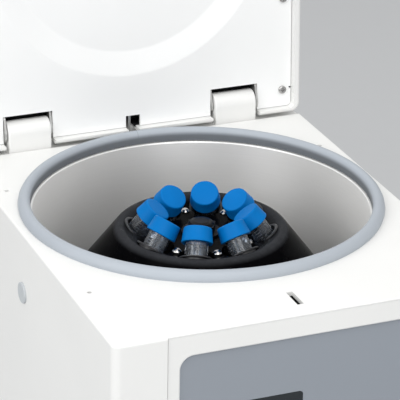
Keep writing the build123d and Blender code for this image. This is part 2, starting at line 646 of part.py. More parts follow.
def motor_can():
    bearing = BEARING_R + 0.02
    inner = MOTOR_R - MOTOR_WALL
    neck = SHAFT_R + 4
    can = turned([(bearing, MOTOR_TAIL_Z), (MOTOR_TAIL_R, MOTOR_TAIL_Z), (MOTOR_TAIL_R, MOTOR_Z0),
                  (MOTOR_R, MOTOR_Z0), (MOTOR_R, MOTOR_Z1 - 3), (inner, MOTOR_Z1), (neck, MOTOR_Z1),
                  (neck, BEARING_Z[1] + BEARING_WIDTH), (bearing, BEARING_Z[1] + BEARING_WIDTH),
                  (bearing, BEARING_Z[1]), (inner, BEARING_Z[1]), (inner, MOTOR_Z0 + MOTOR_WALL),
                  (bearing, MOTOR_Z0 + MOTOR_WALL)])
    return Pos(0, ROTOR_Y, 0) * can


def motor_stator():
    ring = rod(MOTOR_R - MOTOR_WALL - SLIP, 0, ROTOR_Y, STATOR_Z0, STATOR_Z1)
    ring -= rod(STATOR_BORE_R, 0, ROTOR_Y, STATOR_Z0 - 1, STATOR_Z1 + 1)
    for place in around(ROTOR_Y, STATOR_SLOTS):
        slot = Box(STATOR_SLOT_DEPTH, STATOR_SLOT_WIDTH, STATOR_Z1 - STATOR_Z0 + 2, align=MIN3)
        middle = STATOR_BORE_R + STATOR_TOOTH + STATOR_SLOT_DEPTH / 2
        ring -= place * Pos(middle, 0, STATOR_Z0 - 1) * slot
    return ring


def motor_armature():
    core = rod(STATOR_BORE_R - AIR_GAP, 0, ROTOR_Y, STATOR_Z0 + 1, STATOR_Z1 - 1)
    return core - rod(SHAFT_R + SLIP, 0, ROTOR_Y, STATOR_Z0, STATOR_Z1)


def motor_bearings():
    rings = []
    for z in BEARING_Z:
        ring = rod(BEARING_R, 0, ROTOR_Y, z, z + BEARING_WIDTH)
        rings.append(ring - rod(SHAFT_R + SLIP, 0, ROTOR_Y, z - 1, z + BEARING_WIDTH + 1))
    return Compound([r.solid() for r in rings])


def damper_places():
    return [turn * Pos(DAMPER_CIRCLE, 0, 0) for turn in around(ROTOR_Y, DAMPER_COUNT, 30)]


def motor_plate():
    plate = rod(MOTOR_PLATE_R, 0, ROTOR_Y, DAMPER_TOP, MOTOR_Z0)
    plate -= rod(MOTOR_TAIL_R + 0.2, 0, ROTOR_Y, DAMPER_TOP - 1, MOTOR_Z0 + 1)
    for place in damper_places():
        plate -= place * Pos(0, 0, DAMPER_TOP - 1) * Cylinder(DAMPER_STUD_R + 0.2, 8, align=MIN3)
    return plate


def motor_dampers():
    waist = (DAMPER_TOP - FLOOR_TOP) / 3
    damper = turned([(0, FLOOR_TOP), (DAMPER_R, FLOOR_TOP), (DAMPER_R, FLOOR_TOP + 3),
                     (DAMPER_WAIST_R, FLOOR_TOP + waist), (DAMPER_WAIST_R, DAMPER_TOP - waist),
                     (DAMPER_R, DAMPER_TOP - 3), (DAMPER_R, DAMPER_TOP), (DAMPER_STUD_R, DAMPER_TOP),
                     (DAMPER_STUD_R, MOTOR_Z0 + 3), (0, MOTOR_Z0 + 3)])
    return Compound([place * damper for place in damper_places()])


def shaft_boot():
    outer = COLLAR_R - BOWL_SHEET - PLAY
    bend = BOWL_FLOOR_Z - 4
    top = BOWL_FLOOR_Z + 6
    boot = turned([(outer - 2, MOTOR_Z1 + PLAY), (outer - 4, MOTOR_Z1 + PLAY), (outer - 4, bend),
                   (outer - 2, top), (outer, top), (outer, bend)])
    return Pos(0, ROTOR_Y, 0) * boot


# Lid
def lid_screw_places():
    return [(x, y) for x in (-LID_SCREW_X, LID_SCREW_X) for y in LID_SCREW_Y]


def arm_screw_places():
    return [(side * x, ARM_SCREW_Y) for side in (-1, 1) for x in ARM_SCREW_X]


def hinge_cutouts(y0, y1, z0, z1):
    right = box(HINGE_X - CUTOUT_HALF, HINGE_X + CUTOUT_HALF, y0, y1, z0, z1)
    return [right, mirrored(right)]


def screw_hole(x, y, z):
    return rod(SCREW_HOLE_R, x, y, z, LID_ROOF - 2)


def lid_shell():
    shell = round_box(-LID_HALF, LID_HALF, LID_FRONT_Y, LID_REAR_Y, LID_BOTTOM_Z, LID_TOP, LID_CORNER_R)
    shell = fillet(shell.faces().sort_by(Axis.Z)[-1].edges(), LID_TOP_R)
    rear = [e for e in shell.edges() if abs(e.center().Y - LID_REAR_Y) < 0.1
            and abs(e.center().Z - LID_BOTTOM_Z) < 0.1 and e.length > LID_HALF]
    shell = fillet(rear, LID_REAR_R)
    shell -= round_box(-LID_HALF + LID_RIM, LID_HALF - LID_RIM, LID_FRONT_Y + LID_RIM,
                       LID_REAR_Y - LID_REAR_RIM, LID_BOTTOM_Z - 1, LID_ROOF, LID_CORNER_R - 3)
    for x, y in lid_screw_places():
        shell += rod(5, x, y, INNER_BACK, LID_ROOF + 1) - screw_hole(x, y, INNER_BACK - 1)
    for x, y in arm_screw_places():
        shell += rod(4.5, x, y, ARM_Z + ARM_SHEET, LID_ROOF + 1) - screw_hole(x, y, ARM_Z)
    for cut in hinge_cutouts(LID_REAR_Y - 6, LID_REAR_Y + 1, LID_BOTTOM_Z - 1, LID_ROOF):
        shell -= cut
    shell += box(-STRIKER_HALF, STRIKER_HALF, STRIKER_Y0, STRIKER_Y1, INNER_BACK + ARM_SHEET, LID_ROOF + 1)
    shell -= box(NOTCH_X0, RIM_NOTCH_X1, LID_REAR_Y - 6, LID_REAR_Y + 1, LID_BOTTOM_Z - 1, LUG_TOP + 6.5)
    for y in STRIKER_SCREW_Y:
        shell -= screw_hole(0, y, INNER_BACK)
    return shell


def lid_inner_panel():
    half = LID_HALF - LID_RIM - INNER_GAP
    front = LID_FRONT_Y + LID_RIM + INNER_GAP
    rear = LID_REAR_Y - LID_REAR_RIM - INNER_GAP
    panel = round_box(-half, half, front, rear, INNER_Z, INNER_BACK, LID_CORNER_R - 3.5)
    floor = INNER_Z + DISC_DEPTH
    dish = turned([(0, floor), (DISC_INNER_R, floor), (DISC_OUTER_R, INNER_Z),
                   (DISC_OUTER_R + 1, INNER_Z - 1), (0, INNER_Z - 1)])
    roof = INNER_BACK + DISC_DEPTH
    pan = turned([(0, roof), (DISC_INNER_R + 0.4, roof), (DISC_OUTER_R + 0.4, INNER_BACK),
                  (DISC_OUTER_R + 0.4, INNER_BACK - 0.5), (0, INNER_BACK - 0.5)])
    panel = panel + Pos(0, ROTOR_Y, 0) * pan - Pos(0, ROTOR_Y, 0) * dish
    for cut in hinge_cutouts(LID_REAR_Y - CUTOUT_REACH, LID_REAR_Y, INNER_Z - 1, INNER_BACK + 6):
        panel -= cut
    through = (INNER_Z - 1, INNER_BACK + 1)
    panel -= box(NOTCH_X0, NOTCH_X1, LID_REAR_Y - NOTCH_REACH, LID_REAR_Y, *through)
    for side in (-half, half):
        panel -= box(side - 1.6, side + 1.6, EDGE_NOTCH_Y - 0.8, EDGE_NOTCH_Y + 0.8, *through)
    for x, y in lid_screw_places():
        panel -= rod(SCREW_PASS_R, x, y, *through)
    across = BLADE_SHEET / 2 + PLAY
    along = BLADE_WIDTH / 2 + PLAY
    return panel - box(-across, across, BLADE_Y - along, BLADE_Y + along, *through)


def lid_striker():
    blade = box(-BLADE_SHEET / 2, BLADE_SHEET / 2, BLADE_Y - BLADE_WIDTH / 2, BLADE_Y + BLADE_WIDTH / 2,
                BLADE_Z, INNER_BACK + 1)
    nose = [e for e in blade.edges() if abs(e.center().Z - BLADE_Z) < 0.01 and abs(e.center().X) < 0.01]
    blade = chamfer(nose, BLADE_SHEET)
    blade -= box(-BLADE_SHEET, BLADE_SHEET, BLADE_Y - 4, BLADE_Y + 4, BOLT_Z - 3.5, BOLT_Z + 3.5)
    flange = box(-STRIKER_HALF, STRIKER_HALF, STRIKER_Y0, STRIKER_Y1, INNER_BACK, INNER_BACK + ARM_SHEET)
    for y in STRIKER_SCREW_Y:
        flange -= rod(SCREW_PASS_R - 0.2, 0, y, INNER_BACK - 1, INNER_BACK + ARM_SHEET + 1)
    return blade + flange


def lid_hinge_arms():
    inner_x = HINGE_X - CUTOUT_HALF + 0.4
    outer_x = HINGE_X + CUTOUT_HALF - 0.4
    arm = box(inner_x, outer_x, ARM_Y0, ARM_Y1, ARM_Z, ARM_Z + ARM_SHEET)
    for x0, radius in ((inner_x, INNER_EAR_R), (outer_x - EAR_SHEET, OUTER_EAR_R)):
        top = HINGE_Z + radius
        ear = side_profile([(ARM_Y0, ARM_Z), (ARM_Y0, ARM_Z + ARM_SHEET), (ARM_Y1, top - 1.5),
                            (HINGE_Y, top), (HINGE_Y, HINGE_Z - radius),
                            (HINGE_Y - 12, HINGE_Z - radius + 3.5), (ARM_Y1, ARM_Z)], x0, x0 + EAR_SHEET)
        ear += rod_x(radius, x0, x0 + EAR_SHEET, HINGE_Y, HINGE_Z)
        arm += ear - rod_x(PIN_R + SLIP, x0 - 1, x0 + EAR_SHEET + 1, HINGE_Y, HINGE_Z)
    for x in ARM_SCREW_X:
        arm -= rod(SCREW_PASS_R - 0.1, x, ARM_SCREW_Y, ARM_Z - 1, ARM_Z + ARM_SHEET + 1)
    return Compound([arm.solid(), mirrored(arm).solid()])


def lid_screws():
    recess = 1.7
    slot = 0.4
    low = -LID_SCREW_HEAD
    screw = rod(LID_SCREW_HEAD_R, 0, 0, low, 0)
    screw = fillet(screw.edges().sort_by(Axis.Z)[:1], 0.9) + rod(SCREW_SHANK_R, 0, 0, 0, 9)
    for half_x, half_y in ((recess, slot), (slot, recess)):
        screw -= box(-half_x, half_x, -half_y, half_y, low - 1, low + 1.1)
    screws = [Pos(x, y, INNER_Z) * screw for x, y in lid_screw_places()]
    screws += [Pos(x, y, ARM_Z) * screw for x, y in arm_screw_places()]
    return Compound([s.solid() for s in screws])


# Hinge parts that stay on the casing
def hinge_cover():
    x0 = HINGE_X - COVER_HALF
    x1 = HINGE_X + COVER_HALF

    def dome(radius, x0, x1, z0):
        block = box(x0, x1, HINGE_Y - radius, HINGE_Y + radius, z0, HINGE_Z)
        return block + rod_x(radius, x0, x1, HINGE_Y, HINGE_Z)

    cover = dome(COVER_R, x0, x1, SHELF_Z)
    ends = [e for e in cover.edges() if e.bounding_box().size.X < 0.01 and e.center().Z > SHELF_Z + 0.1]
    cover = fillet(ends, COVER_EDGE_R)
    cover -= dome(COVER_R - COVER_SHEET, x0 + COVER_SHEET, x1 - COVER_SHEET, SHELF_Z - 1)
    return cover - rod_x(PIN_R + 2 * SLIP, x0 - 1, x1 + 1, HINGE_Y, HINGE_Z)


def hinge_brackets():
    x0 = HINGE_X - BRACKET_HALF
    x1 = HINGE_X + BRACKET_HALF
    foot = box(x0, x1, HINGE_Y - BRACKET_EAR_R, HINGE_Y + BRACKET_EAR_R, SHELF_Z, SHELF_Z + BRACKET_SHEET)
    for x in (x0, x1 - BRACKET_SHEET):
        foot += box(x, x + BRACKET_SHEET, HINGE_Y - BRACKET_EAR_R, HINGE_Y + BRACKET_EAR_R, SHELF_Z, HINGE_Z)
        foot += rod_x(BRACKET_EAR_R, x, x + BRACKET_SHEET, HINGE_Y, HINGE_Z)
    foot -= rod_x(PIN_R, x0 - 1, x1 + 1, HINGE_Y, HINGE_Z)
    return Compound([foot.solid(), mirrored(foot).solid()])


def hinge_pins():
    pin = rod_x(PIN_R, HINGE_X - CUTOUT_HALF + 0.2, HINGE_X + CUTOUT_HALF - 0.2, HINGE_Y, HINGE_Z)
    return Compound([pin.solid(), mirrored(pin).solid()])


def sensor_bracket():
    foot_z = SHELF_Z - WALL
    lug = box(LUG_X0, LUG_X0 + LUG_SHEET, LUG_Y0, LUG_Y1, foot_z - LUG_SHEET, LUG_TOP)
    return lug + box(LUG_X0, LUG_X0 + 16, LUG_Y0 - 4, LUG_Y1 + 4, foot_z - LUG_SHEET, foot_z)


def lock_body():
    top = DECK_Z - WALL
    body = box(LOCK_X0, LOCK_X1, LOCK_Y0, LOCK_Y1, LOCK_Z0, top)
    across = BLADE_SHEET / 2 + 1.8
    body -= box(-across, across, SLOT_FRONT - 0.4, SLOT_REAR + 0.4, LOCK_Z0 + 4, top + 1)
    return body - rod_x(BOLT_R + SLIP, LOCK_X0 + 7, LOCK_X1 - 7, BLADE_Y, BOLT_Z)


def lock_bolt():
    bolt = rod_x(BOLT_R, BLADE_SHEET / 2 + 2.7, LOCK_X1 - 7.8, BLADE_Y, BOLT_Z)
    return bolt - rod_x(1, LOCK_X1 - 11, LOCK_X1, BLADE_Y, BOLT_Z)


def release_plug():
    plug = rod_x(PLUG_R, -SIDE_X - PLUG_FACE, -SIDE_X, PLUG_Y, PLUG_Z)
    plug = fillet(plug.edges().sort_by(Axis.X)[:1], 0.7)
    return plug + rod_x(PLUG_STEM_R, -SIDE_X, -SIDE_X + PLUG_STEM, PLUG_Y, PLUG_Z)


# Rear
def rear_item(x, half, half_height, y0, y1, radius, grow):
    return panel_plate(x - half, x + half, REAR_ITEM_Z - half_height, REAR_ITEM_Z + half_height, y0, y1,
                       radius, grow)


def rear_panel():
    plate = panel_plate(-REAR_HALF, REAR_HALF, REAR_Z0, REAR_Z1, REAR_BACK, REAR_FACE, REAR_R, -PLAY)
    for x, half, half_height in ((INLET_X, INLET_HALF, INLET_HALF_HEIGHT),
                                 (SWITCH_X, SWITCH_HALF, SWITCH_HALF_HEIGHT)):
        plate -= rear_item(x, half, half_height, REAR_BACK - 1, REAR_FACE + 1, 1, 0.2)
    for row in range(SLAT_ROWS):
        z = REAR_Z0 + SLAT_PITCH * (row + 1)
        for x0 in (10, 56):
            plate -= front_plate(x0, x0 + 38, z, z + 6, REAR_BACK - 1, REAR_FACE + 1, 2.9)
    return plate


def mains_inlet():
    body = rear_item(INLET_X, INLET_HALF, INLET_HALF_HEIGHT, REAR_FACE - 22, REAR_FACE, 1, 0)
    body += front_plate(INLET_X - 20, INLET_X + 20, REAR_ITEM_Z - 14, REAR_ITEM_Z + 14, REAR_FACE,
                        REAR_FACE + ITEM_LIP, 4)
    body -= rear_item(INLET_X, 12.4, 8.6, REAR_FACE - 16, REAR_FACE + 2, 3, 0)
    for dx, dz in ((-7, 2), (7, 2), (0, -2)):
        x = INLET_X + dx
        z = REAR_ITEM_Z + dz
        body += box(x - 1, x + 1, REAR_FACE - 17, REAR_FACE - 3, z - 2, z + 2)
    return body


def switch_frame():
    frame = rear_item(SWITCH_X, SWITCH_HALF, SWITCH_HALF_HEIGHT, REAR_FACE - 18, REAR_FACE, 1, 0)
    frame += rear_item(SWITCH_X, SWITCH_HALF, SWITCH_HALF_HEIGHT, REAR_FACE, REAR_FACE + ITEM_LIP, 0.1, 2)
    frame -= rear_item(SWITCH_X, SWITCH_HALF - SWITCH_WALL, SWITCH_HALF_HEIGHT - SWITCH_WALL,
                       REAR_FACE - 14, REAR_FACE + 2, 0.5, 0)
    bore = SWITCH_HALF - SWITCH_WALL + 1.5
    return frame - rod_x(LEVER_PIN_R + SLIP, SWITCH_X - bore, SWITCH_X + bore, LEVER_Y, REAR_ITEM_Z)


def power_rocker():
    z = REAR_ITEM_Z
    y = LEVER_Y
    half = SWITCH_HALF - SWITCH_WALL - PLAY
    wedge = side_profile([(y - 4, z - 5), (y + 4.2, z - 11), (y + 7.2, z), (y + 9.6, z + 10.6),
                          (y + 4, z + 11), (y - 4, z + 5)], SWITCH_X - half, SWITCH_X + half)
    half += 1.3
    return wedge + rod_x(LEVER_PIN_R, SWITCH_X - half, SWITCH_X + half, y, z)


def power_board():
    top = POWER_Z + POWER_SHEET
    board = box(POWER_X0, POWER_X1, POWER_Y0, POWER_Y1, POWER_Z, top)
    for x in (POWER_X0 + 4, POWER_X1 - 4):
        for y in (POWER_Y0 + 5, POWER_Y1 - 6):
            board += rod(3, x, y, FLOOR_TOP, POWER_Z)
    supply_y = POWER_Y1 - SUPPLY_BACK
    board += box(POWER_X0 + 2, POWER_X1 - 4, supply_y - SUPPLY_DEPTH, supply_y, top, top + SUPPLY_HEIGHT)
    for y in STORE_Y:
        board += rod(STORE_R, POWER_X0 + STORE_R + 4, POWER_Y0 + y, top, top + STORE_HEIGHT)
    for i in range(5):
        x = POWER_X0 + 6 + 5 * i
        board += box(x, x + 2, POWER_Y0 + 9, POWER_Y0 + 17, top, top + 26)
    return board


save("casing", casing())
save("base_plate", base_plate())
save("feet", feet())
save("case_screws", case_screws())
save("front_fascia", fascia())
save("control_panel", control_panel())
save("display_window", display_window())
for name, x in KEYS.items():
    save(name, key(x))
save("set_rocker", set_rocker())
save("control_board", control_board())
save("chamber_gasket", gasket())
save("chamber_bowl", bowl())
save("rotor_body", rotor_body())
save("tube_sleeves", sleeves())
for index in range(TUBE_COUNT):
    save(f"tube_{index + 1}", tube(index))
    save(f"tube_cap_{index + 1}", tube_cap(index))
save("rotor_screws", rotor_screws())
save("rotor_nut", rotor_nut())
save("motor_shaft", motor_shaft())
save("motor_can", motor_can())
save("motor_stator", motor_stator())
save("motor_armature", motor_armature())
save("motor_bearings", motor_bearings())
save("motor_plate", motor_plate())
save("motor_dampers", motor_dampers())
save("shaft_boot", shaft_boot())
save("lid_shell", opened(lid_shell()))
save("lid_inner_panel", opened(lid_inner_panel()))
save("lid_striker", opened(lid_striker()))
save("lid_hinge_arms", opened(lid_hinge_arms()))
save("lid_screws", opened(lid_screws()))
save("hinge_cover_right", hinge_cover())
save("hinge_cover_left", mirrored(hinge_cover()))
save("hinge_brackets", hinge_brackets())
save("hinge_pins", hinge_pins())
save("lid_sensor_bracket", sensor_bracket())
save("lid_lock_body", lock_body())
save("lid_lock_bolt", lock_bolt())
save("release_plug", release_plug())
save("rear_panel", rear_panel())
save("mains_inlet", mains_inlet())
save("switch_frame", switch_frame())
save("power_rocker", power_rocker())
save("power_board", power_board())
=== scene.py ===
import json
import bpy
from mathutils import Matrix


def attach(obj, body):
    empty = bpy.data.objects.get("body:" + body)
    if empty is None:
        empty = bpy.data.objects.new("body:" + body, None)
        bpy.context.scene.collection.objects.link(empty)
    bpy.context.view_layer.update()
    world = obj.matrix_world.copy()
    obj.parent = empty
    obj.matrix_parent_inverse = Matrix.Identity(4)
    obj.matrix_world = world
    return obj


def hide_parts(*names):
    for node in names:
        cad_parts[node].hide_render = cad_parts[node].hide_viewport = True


bl_info = {
    "name": "Clinical Centrifuge",
    "version": (1, 0, 0),
    "blender": (4, 5, 0),
    "location": "View3D > Sidebar > Centrifuge",
    "description": "Dresses the centrifuge's solids with finished pieces, materials and a stage",
    "category": "Object",
}

from math import acos, atan2, cos, hypot, pi, radians, sin, tau

import bpy
from mathutils import Matrix, Vector

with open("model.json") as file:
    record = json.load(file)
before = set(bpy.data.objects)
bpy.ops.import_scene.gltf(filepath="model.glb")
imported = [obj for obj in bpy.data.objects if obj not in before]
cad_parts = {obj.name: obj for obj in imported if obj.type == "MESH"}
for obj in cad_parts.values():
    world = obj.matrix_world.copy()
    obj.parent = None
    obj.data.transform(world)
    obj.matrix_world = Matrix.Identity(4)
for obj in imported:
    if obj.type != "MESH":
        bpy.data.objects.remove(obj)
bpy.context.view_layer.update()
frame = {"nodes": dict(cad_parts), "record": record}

MM = 0.001

# The casing's round opening and what nests in it: radii and depths below the deck, in millimetres.
OPENING_R = 122.2
SEAL_R = 128.6
SEAL_LIP_R = 120.1
BOWL_R = 119.0
BOWL_FLANGE_R = 128.0
BOWL_FLANGE = 3.02
BOWL_DEPTH = 116.0
BOWL_SHEET = 1.2
BOWL_NECK_R = 22.0
BOWL_NECK = 8.0
DISH_R = 43.0
DISH_DEPTH = 22.3
ROTOR_R = 111.0
ROTOR_DEPTH = 110.0
ROTOR_ROOF = 48.0
ROTOR_HUB_R = 20.0
ROTOR_HUB = 98.0
SPINDLE_R = 6.02

# A tube with its cap, sleeve and bore: radii and distances along it from the cap's top, in millimetres.
TUBE_COUNT = 8
TUBE_RING_R = 30.5
CAP_DROP = 5.5
CAP_R = 11.0
CAP_TOP_R = 9.8
CAP_HEIGHT = 11.0
CAP_ROOF = 2.0
CAP_RIBS = 96
CAP_RIB_DEPTH = 0.12
TUBE_R = 8.3
TUBE_BORE_R = 7.4
TUBE_MOUTH = 2.2
TUBE_STRAIGHT = 97.0
TUBE_END = 119.95
TUBE_FLOOR = 118.0
SLEEVE_R = 9.9
SLEEVE_BORE_R = 8.6
SLEEVE_FLANGE_R = 12.2
SLEEVE_TOP = 21.7
SLEEVE_SEAT = 22.88
SLEEVE_END = 112.0
BORE_R = 10.0
BORE_STRAIGHT = 100.0
BORE_END = 122.5
COUNTERBORE_R = 12.5
COUNTERBORE = 22.9

# The lid's inner skin on the closed lid, in millimetres.
SKIN_HALF = 129.2
SKIN_FRONT = -172.2
SKIN_BACK = 155.9
SKIN_CORNER_R = 3.3
SKIN_LIFT = 7.7
SKIN_SHEET = 2.0
PAN_DEPTH = 4.0
PAN_SLOPE = (90.4, 108.4)
DISH_SLOPE = (90.0, 108.0)
CUTOUT = (62.9, 101.3)
CUTOUT_FRONT = 135.2
EDGE_NOTCH = (127.6, 130.0)
SCREW_X = 122.0
SCREW_ROWS = (142.7, 70.0, -52.5, -160.5)
SCREW_PASS_R = 1.8

# The hollow between the lid's skins on the closed lid, where black is painted as shade, in metres, with heights
# above the deck.
HOLLOW_LOW = 0.0102
HOLLOW_HIGH = 0.0272
HOLLOW_HALF = 0.1315
HOLLOW_FRONT = -0.1745
HOLLOW_BACK = 0.158

# The keys' middles and front faces on the panel, in metres.
START_X = 0.026
STOP_X = 0.052
LID_KEY_X = 0.076
KEY_Z = 0.150
SET_X = 0.039
SET_Z = 0.124
KEY_FACE_Y = -0.1752


# ---------------------------------------------------------------- settings

class CentrifugeSizes(bpy.types.PropertyGroup):
    rotor_y: bpy.props.FloatProperty(
        name="Rotor axis", description="Distance of the rotor's axis behind the casing's middle",
        default=0.0075, unit="LENGTH")
    deck_z: bpy.props.FloatProperty(
        name="Deck height", description="Height of the top deck above the bench", default=0.232, unit="LENGTH")
    around: bpy.props.IntProperty(
        name="Steps around", description="Faces round the large turned pieces", default=160, min=48)
    hinge_y: bpy.props.FloatProperty(
        name="Hinge axis", description="Distance of the lid's hinge behind the casing's middle",
        default=0.14915, unit="LENGTH")
    hinge_z: bpy.props.FloatProperty(
        name="Hinge height", description="Height of the lid's hinge above the bench", default=0.24383,
        unit="LENGTH")
    lid_open: bpy.props.FloatProperty(
        name="Lid opening", description="Angle between the closed lid and the lid as shown",
        default=radians(92.74), subtype="ANGLE")
    tube_tilt: bpy.props.FloatProperty(
        name="Tube tilt", description="Angle of the tubes from upright", default=radians(38), subtype="ANGLE")
    first_tube: bpy.props.FloatProperty(
        name="First tube", description="Direction of the first tube round the rotor", default=radians(-116.5),
        subtype="ANGLE")


def colour(name, description, default):
    return bpy.props.FloatVectorProperty(
        name=name, description=description, subtype="COLOR", size=3, min=0.0, max=1.0, default=default)


class CentrifugeColours(bpy.types.PropertyGroup):
    cover: colour("Cover", "White moulded cover", (0.80, 0.80, 0.785))
    # Painted light: the lid skin is the cover's white plastic made lighter, standing in for the light that
    # falls on the lid.
    lid: colour("Lid skin", "White inner skin of the lid", (0.90, 0.905, 0.90))
    panel: colour("Panel", "Grey-blue control panel", (0.268, 0.294, 0.331))
    gasket: colour("Gasket", "Grey-blue rubber seal", (0.385, 0.420, 0.462))
    bowl: colour("Bowl", "Stainless bowl", (0.97, 0.965, 0.95))
    rotor: colour("Rotor", "Black coated rotor", (0.0015, 0.0015, 0.002))
    cap: colour("Cap", "Blue screw caps", (0.0002, 0.155, 0.47))
    tube: colour("Tube", "Clear tubes", (0.80, 0.87, 0.96))
    sleeve: colour("Sleeve", "Smoke-grey plastic sleeves", (0.020, 0.021, 0.024))
    plug: colour("Plug", "Light release plug", (0.50, 0.53, 0.55))
    start: colour("Start key", "Green start key", (0.045, 0.30, 0.13))
    stop: colour("Stop key", "Red stop key", (0.50, 0.045, 0.03))
    light_key: colour("Light keys", "Lid key and set rocker", (0.68, 0.70, 0.72))
    digits: colour("Digits", "Figures on the display", (0.30, 0.85, 0.62))
    floor: colour("Floor", "Pale floor", (0.55, 0.56, 0.57))


def sizes():
    return bpy.context.scene.centrifuge_sizes


def colours():
    return bpy.context.scene.centrifuge_colours


# ---------------------------------------------------------------- material maths

class Link:
    """A node's output that joins in sums and comparisons with other outputs and with numbers."""

    def __init__(self, finish, socket):
        self.finish = finish
        self.socket = socket

    def _sum(self, operation, first, second=None):
        values = {0: first} if second is None else {0: first, 1: second}
        return self.finish.node("ShaderNodeMath", {"operation": operation}, values)

    def __add__(self, other):
        return self._sum("ADD", self, other)

    def __radd__(self, other):
        return self._sum("ADD", other, self)

    def __sub__(self, other):
        return self._sum("SUBTRACT", self, other)

    def __rsub__(self, other):
        return self._sum("SUBTRACT", other, self)

    def __mul__(self, other):
        return self._sum("MULTIPLY", self, other)

    def __rmul__(self, other):
        return self._sum("MULTIPLY", other, self)

    def __pow__(self, other):
        return self._sum("POWER", self, other)

    def __gt__(self, other):
        return self._sum("GREATER_THAN", self, other)

    def __lt__(self, other):
        return self._sum("LESS_THAN", self, other)

    def __abs__(self):
        return self._sum("ABSOLUTE", self)

    def __mod__(self, other):
        return self._sum("FLOORED_MODULO", self, other)

    def out(self, name):
        return Link(self.finish, self.socket.node.outputs[name])


class Finish:
    """One material under construction."""

    def __init__(self, name, base, roughness, metallic=0.0, **plain):
        self.material = bpy.data.materials.new(name)
        self.material.use_nodes = True
        self.tree = self.material.node_tree
        self.shader = next(n for n in self.tree.nodes if n.type == "BSDF_PRINCIPLED")
        self.set("Base Color", (*base, 1.0))
        self.set("Roughness", roughness)
        self.set("Metallic", metallic)
        for key, value in plain.items():
            self.set(key.replace("_", " ").title().replace("Ior", "IOR"), value)

    def set(self, name, value):
        self.feed(self.shader.inputs[name], value)

    def feed(self, target, value):
        """Links the value to the socket, or stores it there when it is a plain number or colour."""
        if isinstance(value, Link):
            self.tree.links.new(value.socket, target)
        else:
            target.default_value = value

    def node(self, kind, settings=None, values=None, output=0):
        """A new node with its settings and the values or links of its sockets."""
        made = self.tree.nodes.new(kind)
        for key, value in (settings or {}).items():
            setattr(made, key, value)
        for key, value in (values or {}).items():
            self.feed(made.inputs[key], value)
        return Link(self, made.outputs[output])

    def place(self):
        return self.node("ShaderNodeTexCoord").out("Object")

    def split(self, vector):
        parts = self.node("ShaderNodeSeparateXYZ", values={0: vector})
        return parts.out("X"), parts.out("Y"), parts.out("Z")

    def join(self, x, y, z):
        return self.node("ShaderNodeCombineXYZ", values={0: x, 1: y, 2: z})

    def round_axis(self):
        """The turn about the rotor's axis, the distance from it and the height."""
        x, y, height = self.split(self.place())
        back = y - sizes().rotor_y
        turn = self.node("ShaderNodeMath", {"operation": "ARCTAN2"}, {0: back, 1: x})
        return turn, (x * x + back * back) ** 0.5, height

    def noise(self, vector, scale, detail, roughness=0.5):
        return self.node("ShaderNodeTexNoise", values={
            "Vector": vector, "Scale": scale, "Detail": detail, "Roughness": roughness})

    def mix(self, factor, first, second):
        """The first shade where the factor is 0 and the second where it is 1."""
        shades = [shade if isinstance(shade, Link) else (*shade, 1.0) for shade in (first, second)]
        return self.node("ShaderNodeMix", {"data_type": "RGBA"}, {0: factor, 6: shades[0], 7: shades[1]}, 2)

    def ramp(self, value, low, high):
        """0 below the low end, 1 above the high end and an even rise between them."""
        return self.node("ShaderNodeMapRange", None, {0: value, 1: low, 2: high})

    def bump(self, height, strength, distance):
        self.set("Normal", self.node("ShaderNodeBump", values={
            "Height": height, "Strength": strength, "Distance": distance}))


def scaled(shade, factor):
    """The shade made lighter or darker by the factor."""
    return tuple(min(1.0, c * factor) for c in shade)


def moulded(name, base, roughness, grain=1400.0, mottling=0.03, **plain):
    """Injection-moulded plastic: fine spark-eroded grain, a little uneven in tone and gloss."""
    finish = Finish(name, base, roughness, **plain)
    place = finish.place()
    fine = finish.noise(place, grain, 2.0)
    broad = finish.noise(place, 14.0, 3.0)
    finish.set("Base Color", finish.mix(broad, scaled(base, 1 - mottling), scaled(base, 1 + mottling)))
    finish.set("Roughness", roughness - 0.04 + 0.08 * broad)
    finish.bump(fine, 0.35, 0.000012)
    return finish.material


def plated(name, base, roughness, streak=(40.0, 900.0, 900.0), depth=0.000006):
    """Plated sheet steel with the faint lines of its rolling."""
    finish = Finish(name, base, roughness, metallic=1.0)
    place = finish.place()
    x, y, z = finish.split(place)
    lines = finish.noise(finish.join(x * streak[0], y * streak[1], z * streak[2]), 1.0, 3.0)
    cloud = finish.noise(place, 60.0, 3.0)
    finish.set("Base Color", finish.mix(cloud, scaled(base, 0.88), scaled(base, 1.08)))
    finish.set("Roughness", roughness - 0.06 + 0.12 * lines)
    finish.bump(lines, 0.3, depth)
    return finish.material


def rubber(name, base, roughness):
    """Dull moulded rubber, a little uneven in tone."""
    finish = Finish(name, base, roughness, specular_ior_level=0.35)
    place = finish.place()
    fine = finish.noise(place, 700.0, 3.0)
    broad = finish.noise(place, 25.0, 3.0)
    finish.set("Base Color", finish.mix(broad, scaled(base, 0.93), scaled(base, 1.05)))
    finish.set("Roughness", roughness - 0.05 + 0.1 * broad)
    finish.bump(fine, 0.4, 0.00001)
    return finish.material


# ---------------------------------------------------------------- modelling

def at_mm(x, y, z):
    return Vector((x * MM, y * MM, z * MM))


def drawn(name, points, closed=True):
    """A new mesh object with a line drawn through the points, in metres, by extruding one vertex."""
    bpy.ops.object.select_all(action="DESELECT")
    bpy.ops.mesh.primitive_plane_add(size=MM, location=(0, 0, 0))
    piece = bpy.context.object
    piece.name = name
    piece.data.name = name
    bpy.ops.object.mode_set(mode="EDIT")
    bpy.ops.mesh.merge(type="CENTER")
    bpy.ops.mesh.select_all(action="SELECT")
    last = Vector(points[0])
    bpy.ops.transform.translate(value=last)
    for point in list(points[1:]) + ([points[0]] if closed else []):
        step = Vector(point) - last
        bpy.ops.mesh.extrude_region_move(TRANSFORM_OT_translate={"value": step})
        last = Vector(point)
    bpy.ops.mesh.select_all(action="SELECT")
    bpy.ops.mesh.remove_doubles(threshold=1e-6)
    return piece


